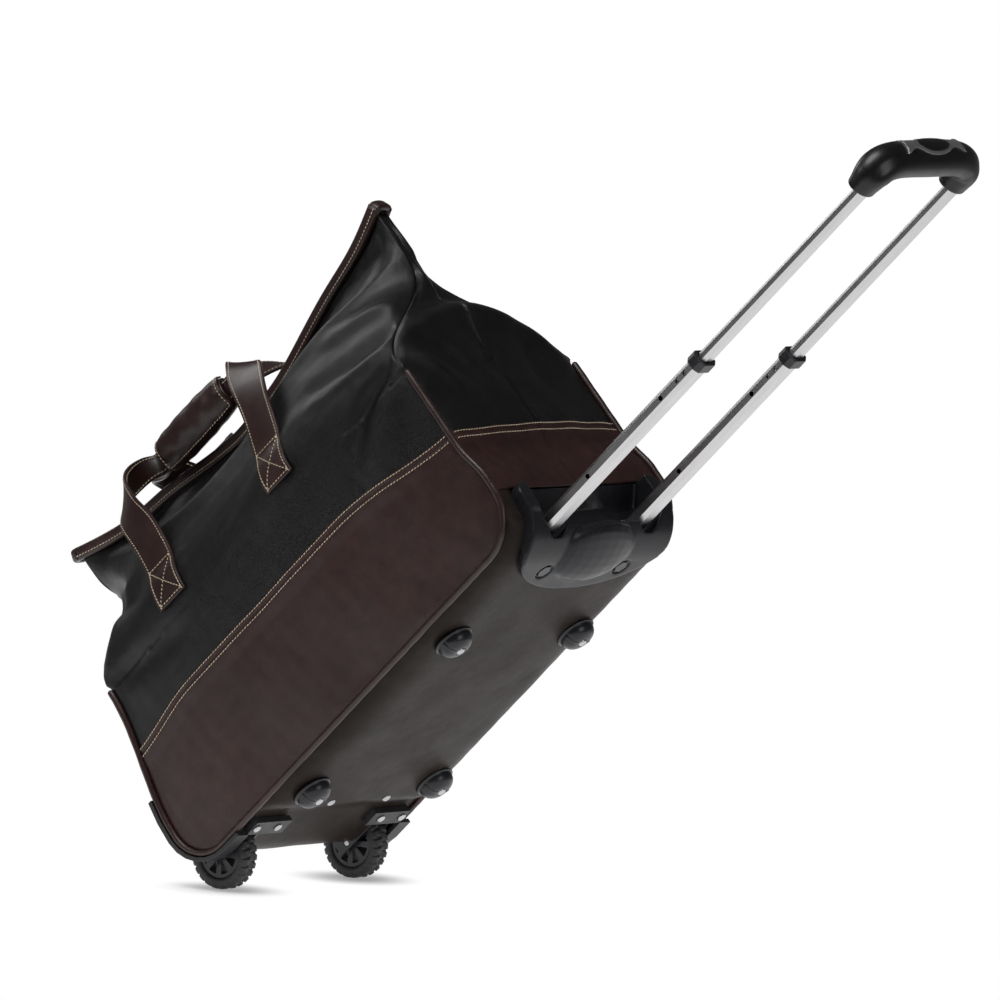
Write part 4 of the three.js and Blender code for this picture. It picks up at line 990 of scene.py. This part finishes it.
def carry_strap(side):
    stops = strap_stops(side)
    count = 260
    path = curve_through([stop[0] for stop in stops], count)
    across = curve_through([unit(np.array(stop[1], float)) for stop in stops], count)
    half = curve_through([(stop[2], 0, 0) for stop in stops], count)[:, 0]
    along = unit(np.gradient(path, axis=0))
    across = unit(across - along * (across * along).sum(1, keepdims=True))
    normal = unit(np.cross(along, across))
    outer = normal * np.where((normal * (path - (0, 0, 250))).sum(1, keepdims=True) < 0, -1, 1)
    flip = 1 if outer[4] @ normal[4] > 0 else -1
    normal = normal * flip
    section = rounded_box(2, STRAP["thick"], 0.9, 4)
    wide = np.repeat(section[None], count, 0)
    wide[..., 0] = np.sign(section[:, 0]) * (half[:, None] - (1 - np.abs(section[:, 0])))
    wide[..., 1] += 0.5 * (wide[..., 0] / half[:, None]) ** 2 - 0.2
    sweep(f"{side}_carry_strap", path, across, normal, wide, BROWN_TRIM, STRAP_BODY,
          [f"{side}_strap"])
    rows = []
    for edge in (-1, 1):
        for face in (1, -1):
            row = path + across * edge * (half[:, None] - 3) + normal * face * STRAP["thick"] / 2
            rows.append((resample(row, 400), resample(normal * face, 400)))
    for sewn in (slice(0, 40), slice(-40, None)):
        upwards = np.argsort(path[sewn, 2])
        rows += box_stitches(path[sewn][upwards], normal[sewn][upwards])
    stitches(f"{side}_strap_stitches", rows, STRAP_BODY)


for side in SIDES:
    carry_strap(side)


def tube_wall(name, outer, inner, material, body, replaces):
    """Open sleeve from two grids of loops with the same rows and columns."""
    rows, cols = outer.shape[:2]
    skin = rows * cols
    faces = grid_faces(rows, cols, close_cols=True)
    faces += [tuple(skin + v for v in face[::-1]) for face in faces]
    for i in (0, rows - 1):
        for j in range(cols):
            a, b = i * cols + j, i * cols + (j + 1) % cols
            faces.append((a, b, skin + b, skin + a))
    points = np.concatenate([outer.reshape(-1, 3), inner.reshape(-1, 3)])
    piece(name, points, faces, material, body, replaces)


def wrap_loop(x, a, out):
    """Point of the carry wrap at x and at an angle round it, out from its surface."""
    ends = np.minimum(x - WRAP["x0"], WRAP["x1"] - x)
    waist = 1 - 0.13 * np.exp(-ends / 7)
    soft = 0.5 * np.sin(x / 4.7 + 2 * np.sin(a)) + 0.35 * np.sin(x / 2.9 + a * 3)
    belly = 1.6 * np.sin(np.pi * (x - WRAP["x0"]) / (WRAP["x1"] - WRAP["x0"]))
    r = (soft * 0.5) * smooth(ends, 2, 14) + belly + out
    y = WRAP["y"] + (WRAP["ry"] * waist + r) * np.cos(a)
    z = WRAP["z"] + (WRAP["rz"] * waist + r) * np.sin(a)
    return np.stack([x + 0 * a, y, z], -1)


def carry_wrap():
    """Soft tube round the two straps."""
    x = spread((WRAP["x0"], -95, 8), (-95, -3, 80), (-3, WRAP["x1"], 8))[:, None]
    a = np.linspace(0, 2 * np.pi, 64, endpoint=False)[None]
    outer, inner = (wrap_loop(x + 0 * a, a + 0 * x, out) for out in (-1.2, -3.8))
    tube_wall("carry_wrap", outer, inner, BROWN_TRIM, "carry_grip", ["wrap_grip"])


def wrap_flap():
    """The wrap's flap, closed round it, with a row of stitches along each edge."""
    proud, inset = 1.6, 3
    x = np.linspace(WRAP["x0"] + 0.6, WRAP["x1"] - 0.6, 90)[:, None]
    a = np.radians(spread((84, 236, 44)))[None]
    flap = piece("carry_wrap_flap", wrap_loop(x + 0 * a, a + 0 * x, proud), grid_faces(90, 45),
                 BROWN_TRIM, "carry_flap", ["wrap_flap"], outward=(0, -1, 0))
    thicken(flap, 1.8)
    round_edges(flap, 0.5)
    long_x = np.linspace(WRAP["x0"] + inset, WRAP["x1"] - inset, 120)
    short_a = np.radians(np.linspace(90, 230, 60))
    rows = [(long_x, np.full(120, math.radians(angle))) for angle in (89, 231)]
    rows += [(np.full(60, end), short_a) for end in (WRAP["x0"] + 3.4, WRAP["x1"] - 3.4)]
    paths = []
    for x, a in rows:
        row = wrap_loop(x, a, proud)
        paths.append((row, (row - (0, WRAP["y"], WRAP["z"])) * (0, 1, 1)))
    stitches("wrap_stitches", paths, "carry_flap")


carry_wrap()
wrap_flap()


# ---------------- feet and rivets
def rivet(name, centre, z0, z1, r, replaces=()):
    """Domed rivet head with a small dimple, from z0 down to z1."""
    depth = z0 - z1
    profile = [(0.2, z0), (r * 0.98, z0), (r, z0 - depth * 0.25), (r * 0.94, z0 - depth * 0.55),
               (r * 0.76, z1 + depth * 0.16), (r * 0.5, z1), (r * 0.3, z1 + depth * 0.06),
               (0.05, z1 + depth * 0.14)]
    return lathe(name, profile, 28, centre, STEEL, "bag", replaces)


def foot(x, y):
    """Full dome with a raised seam across it, on a thin flange."""
    place = f"{'front' if y < 0 else 'back'}_{'handle' if x > 0 else 'wheel'}"
    top = BASE_DROP + 2.4
    profile = [(0.3, top), (20.2, top), (21, top - 0.5), (21, top - 1.6), (20.5, top - 2.1),
               (18.9, 13.9)]
    profile += [(18.7 * math.cos(t) ** 0.7, 13.4 - 12.2 * math.sin(t))
                for t in np.linspace(0.05, 1.35, 14)]
    profile += [(5.2, 1.6), (4.9, 2.6), (0.2, 2.6)]

    def press(loops):
        x_, y_, z_ = loops[..., 0], loops[..., 1], loops[..., 2]
        on_dome = smooth(15 - z_, 1, 4) * smooth(np.hypot(x_, y_), 5, 8)
        seam = (0.5 * np.exp(-(x_ / 0.8) ** 2) - 0.5 * np.exp(-((x_ - 1.8) / 0.8) ** 2)) * on_dome
        away = unit(np.stack([x_, y_, z_ - 13.4], -1))
        return loops + away * seam[..., None]

    lathe(f"foot_{place}_dome", profile, 120, (x, y, 0), FOOT_PLASTIC, "bag",
          [f"foot_{place}"], shape=press)
    rivet(f"foot_{place}_rivet", (x, y, 0), 2.7, 0, 4.8, replaces=[f"foot_rivet_{place}"])


for x, y in FEET:
    foot(x, y)
for i, (x, y) in enumerate(BASE_RIVETS):
    level = PIPE_Z - float(base_drop(np.array(x), np.array(y)))
    rivet(f"base_rivet_{i + 1}", (x, y, 0), level + 1.2, level - 1.5, 4.8)


# ---------------- wheels
def tyre(side):
    """Chunky tyre: staggered lugs on the tread that run a little down the side walls."""
    lugs, steps = 24, 16
    angles = np.linspace(0, 2 * np.pi, lugs * steps, endpoint=False)
    half, rim, outer = WHEEL["width"] / 2, WHEEL["rim"], WHEEL["r"]
    section = [(rim, -half + 1.2), (rim + 0.8, -half + 0.3), (rim + 3, -half), (rim + 6.6, -half),
               (outer - 2.2, -half + 0.5), (outer - 0.7, -half + 1.7), (outer, -half + 3.6),
               (outer, -3.2), (outer, -1.4)]
    section += [(r, -y) for r, y in reversed(section)]
    loops = []
    for a in angles:
        ring = []
        for r, y in section:
            turn = (a * lugs / (2 * math.pi) + (0.5 if y > 0 else 0) + 0.035 * abs(y)) % 1
            gap = float(smooth(turn, 0.0, 0.07) * (1 - smooth(turn, 0.34, 0.42)))
            deep = 2.1 * gap * float(smooth(r, rim + 5.5, outer - 1.5))
            if abs(y) < 1.5:
                deep = 1.5
            ring.append(((r - deep) * math.cos(a), y, (r - deep) * math.sin(a)))
        loops.append(ring)
    loops = np.array(loops) + (WHEEL["x"], SIDES[side] * WHEEL["y"], WHEEL["z"])
    faces = grid_faces(len(angles), len(section), close_rows=True, close_cols=True)
    piece(f"tyre_{side}_tread", loops, faces, TYRE, f"wheel_{side}", [f"tyre_{side}"], sharp=50)


for side in SIDES:
    tyre(side)
    dress(f"hub_{side}", BLACK_PLASTIC, 0.7, 3)
    dress(f"axle_{side}", STEEL, 0.6)
    dress(f"wheel_housing_{side}", BLACK_PLASTIC, 1.2, 3)
    dress(f"wheel_guard_{side}", RUBBER, 1.2, 3)
    for i, y in enumerate((118, 84)):
        rivet(f"guard_{side}_rivet_{i + 1}", (-196.5, SIDES[side] * y, 0), 23.2, 21.4, 4.9,
              replaces=[f"guard_rivet_{side}_{i + 1}"])


# ---------------- trolley
dress("handle_cup", CUP_PLASTIC, 0)
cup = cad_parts["handle_cup"]
voxels = cup.modifiers.new("skin", "REMESH")
voxels.mode = "VOXEL"
voxels.voxel_size = 1.1 * MM
voxels.use_smooth_shade = True
relax = cup.modifiers.new("soft_edges", "SMOOTH")
relax.iterations = 20
for side in SIDES:
    dress(f"cup_bolt_{side}", FOOT_PLASTIC, 0.6)
    dress(f"fixed_tube_{side}", ZINC, 0.3)
    facet(dress(f"middle_tube_{side}", POLISHED, 0))
    facet(dress(f"inner_tube_{side}", POLISHED, 0))
    dress(f"collar_{side}", BLACK_PLASTIC, 0.8, 3)
    dress(f"lock_pin_{side}", STEEL, 0.5)


def grip_path():
    stops = [(x, -y, rise) for x, y, rise in HALF_GRIP] + [(GRIP["x"], 0, GRIP["rise"])]
    stops += [(x, y, rise) for x, y, rise in reversed(HALF_GRIP)]
    return curve_through([(x, y, rise + RAIL_Z) for x, y, rise in stops], 161)


def trolley_grip():
    """Curved grip: sockets over the two tubes and a fuller bar between them."""
    path = grip_path()
    along = unit(np.gradient(path, axis=0))
    up = np.array([0, 0, 1.0])
    across = unit(up - along * (along @ up)[:, None])
    out = unit(np.cross(along, across))
    share = smooth(1 - np.abs(np.linspace(-1, 1, len(path))), 0, 0.5)
    thick, deep = (a + (b - a) * share for a, b in zip(GRIP["end"], GRIP["middle"]))
    number = np.arange(len(path))
    from_end = np.clip(np.minimum(number, number[::-1]) / 4, 0, 1)
    rounding = np.sqrt(1 - (1 - from_end) ** 2)
    rounding = 0.86 + 0.14 * rounding
    a = np.linspace(0, 2 * np.pi, 56, endpoint=False)
    finger = 1 - 0.035 * np.exp(-((np.cos(a) + 0.55) / 0.22) ** 2)
    tall = (deep * rounding)[:, None, None] * (finger * np.cos(a))[:, None]
    broad = (thick * rounding)[:, None, None] * (finger * np.sin(a))[:, None]
    loops = path[:, None] + across[:, None] * tall + out[:, None] * broad
    piece("trolley_grip_body", loops, capped(*loops.shape[:2]), GRIP_PLASTIC, "trolley_grip",
          ["grip"], sharp=60)


def on_grip(along, across, lift):
    """Points on the bar's outer side: along it, round it from the button's middle, and out from it."""
    path = grip_path()
    middle = np.stack([np.interp(along, path[:, 1], path[:, k]) for k in range(3)], -1)
    thick, deep = GRIP["middle"]
    turn = math.radians(BUTTON["lean"]) + across / deep
    out = np.stack([(thick + lift) * np.cos(turn), 0 * turn, (deep + lift) * np.sin(turn)], -1)
    return middle + out


def button_surround():
    along = np.linspace(-48, 48, 97)[:, None]
    wide = np.interp(np.abs(along), *zip(*SURROUND))
    share = np.linspace(-1, 1, 31)[None]
    hollow_end = 2.5 * (1 - share ** 2) * smooth(np.abs(along), 40, 48) * np.sign(along)
    points = on_grip(along + 0 * share - hollow_end, wide * share, 1.6 - 0.5 * np.abs(share) ** 6)
    made = piece("surround_plate", points, grid_faces(97, 31), SATIN, "trolley_grip",
                 ["button_surround"], outward=(1, 0, 0))
    thicken(made, 2)
    round_edges(made, 0.35, 2)


def push_button():
    """Low oval dome, standing a little above its surround."""
    profile = [(1.0, -3.0), (1.0, 1.2), (0.985, 1.8), (0.94, 2.2), (0.8, 2.6), (0.6, 2.9), (0.3, 3.1),
               (0.02, 3.15)]
    a = np.linspace(0, 2 * np.pi, 64, endpoint=False)
    half, wide = BUTTON["half"], BUTTON["wide"]
    loops = np.array([on_grip(half * r * np.cos(a), wide * r * np.sin(a), lift + 0 * a)
                      for r, lift in profile])
    piece("button_dome", loops, capped(len(profile), len(a)), GRIP_PLASTIC, "push_button",
          ["grip_button"], sharp=60)


trolley_grip()
button_surround()
push_button()


# ---------------- camera, floor and lights
def make_camera():
    data = bpy.data.cameras.new("camera")
    data.lens = LENS
    data.sensor_width = 36
    data.clip_start, data.clip_end = 0.1, 100
    camera = bpy.data.objects.new("camera", data)
    SCENE.collection.objects.link(camera)
    turn = Matrix((RIGHT, UP, BACK)).transposed().to_4x4()
    camera.matrix_world = Matrix.Translation(TARGET + BACK * DISTANCE) @ turn
    SCENE.camera = camera


def facing(location, target):
    return (Vector(target) - Vector(location)).to_track_quat("-Z", "Y").to_matrix().to_4x4()


def softbox(name, right, up, back, size, power):
    """Area light at (right, up, back) metres from the bag, as the camera sees it."""
    data = bpy.data.lights.new(name, "AREA")
    data.shape = "RECTANGLE"
    data.size, data.size_y = size
    data.energy = power
    light = bpy.data.objects.new(name, data)
    SCENE.collection.objects.link(light)
    at = TARGET + RIGHT * right + UP * up + BACK * back
    light.matrix_world = Matrix.Translation(at) @ facing(at, LIT_POINT)
    light.visible_camera = False


def make_floor():
    """White floor under the tilted bag's wheels, seen from above only; it keeps their soft shadows."""
    tree = Shading("floor")
    at = tree.coordinates()
    tree.drive("Base Color", tree.ramp(tree.noise(at, 3, 2), [(0.3, 0.78), (0.7, 0.8)]))
    tree.fix("Roughness", 0.7)
    tree.fix("Emission Color", (1, 1, 1, 1))
    tree.fix("Emission Strength", 0.3)
    nearest = tree.add("Math")
    nearest.operation = "MINIMUM"
    for socket, y in zip(nearest.inputs, (-WHEEL["y"] * MM, WHEEL["y"] * MM)):
        distance = tree.add("VectorMath")
        distance.operation = "DISTANCE"
        distance.inputs[1].default_value = (0, y, 0)
        tree.links.new(at, distance.inputs[0])
        tree.links.new(distance.outputs["Value"], socket)
    fade = tree.add("MapRange")
    fade.interpolation_type = "SMOOTHSTEP"
    fade.inputs["From Min"].default_value = 0.015
    fade.inputs["From Max"].default_value = 0.075
    tree.links.new(nearest.outputs[0], fade.inputs["Value"])
    plain = tree.add("Emission", Strength=1.0).outputs["Emission"]
    clear = tree.add("BsdfTransparent").outputs["BSDF"]
    from_below = tree.add("NewGeometry").outputs["Backfacing"]
    shown = tree.shader.outputs["BSDF"]
    for share, other in ((fade.outputs["Result"], plain), (from_below, clear)):
        mix = tree.add("MixShader")
        tree.links.new(share, mix.inputs["Fac"])
        tree.links.new(shown, mix.inputs[1])
        tree.links.new(other, mix.inputs[2])
        shown = mix.outputs["Shader"]
    tree.links.new(shown, tree.nodes["Material Output"].inputs["Surface"])
    half = 1.3
    mesh = bpy.data.meshes.new("floor")
    mesh.from_pydata([(-half, -half, 0), (half, -half, 0), (half, half, 0), (-half, half, 0)], [],
                     [(0, 1, 2, 3)])
    mesh.materials.append(tree.material)
    floor = bpy.data.objects.new("floor", mesh)
    SCENE.collection.objects.link(floor)
    touch = Vector(to_row((WHEEL["x"], 0, WHEEL["z"])).tolist()) - FLOOR_UP * (WHEEL["r"] * MM + 0.0005)
    side = Vector((0, 1, 0))
    turn = Matrix((side.cross(FLOOR_UP), side, FLOOR_UP)).transposed().to_4x4()
    floor.matrix_world = Matrix.Translation(touch) @ turn


def make_world():
    """Dim studio with a paler backdrop below and behind the bag; the camera sees it plain white."""
    world = bpy.data.worlds.new("studio")
    world.use_nodes = True
    SCENE.world = world
    nodes, links = world.node_tree.nodes, world.node_tree.links
    light = nodes["Background"]
    light.inputs["Color"].default_value = (1, 1, 1, 1)
    where = nodes.new("ShaderNodeTexCoord")
    facing_backdrop = nodes.new("ShaderNodeVectorMath")
    facing_backdrop.operation = "DOT_PRODUCT"
    facing_backdrop.inputs[1].default_value = (RIGHT * 0.1 - UP * 0.75 - BACK * 0.65).normalized()
    glow = nodes.new("ShaderNodeMapRange")
    glow.interpolation_type = "SMOOTHSTEP"
    for socket, value in (("From Min", 0.15), ("From Max", 0.95), ("To Min", 0.06), ("To Max", 0.42)):
        glow.inputs[socket].default_value = value
    links.new(where.outputs["Generated"], facing_backdrop.inputs[0])
    links.new(facing_backdrop.outputs["Value"], glow.inputs["Value"])
    links.new(glow.outputs["Result"], light.inputs["Strength"])
    seen = nodes.new("ShaderNodeBackground")
    seen.inputs["Color"].default_value = (1, 1, 1, 1)
    seen.inputs["Strength"].default_value = 1.0
    path = nodes.new("ShaderNodeLightPath")
    mix = nodes.new("ShaderNodeMixShader")
    links.new(path.outputs["Is Camera Ray"], mix.inputs["Fac"])
    links.new(light.outputs["Background"], mix.inputs[1])
    links.new(seen.outputs["Background"], mix.inputs[2])
    links.new(mix.outputs["Shader"], nodes["World Output"].inputs["Surface"])


make_camera()
make_floor()
make_world()
softbox("key", -0.5, 2.0, 0.9, (1.4, 1.0), 27)
softbox("fill_left", -2.1, 1.3, 0.6, (0.8, 0.8), 6)
softbox("fill_right", 1.7, 0.3, 1.8, (1.0, 1.4), 10)
softbox("back_left", -1.4, 1.4, -1.4, (0.9, 0.9), 6)
SCENE.view_settings.view_transform = "Standard"
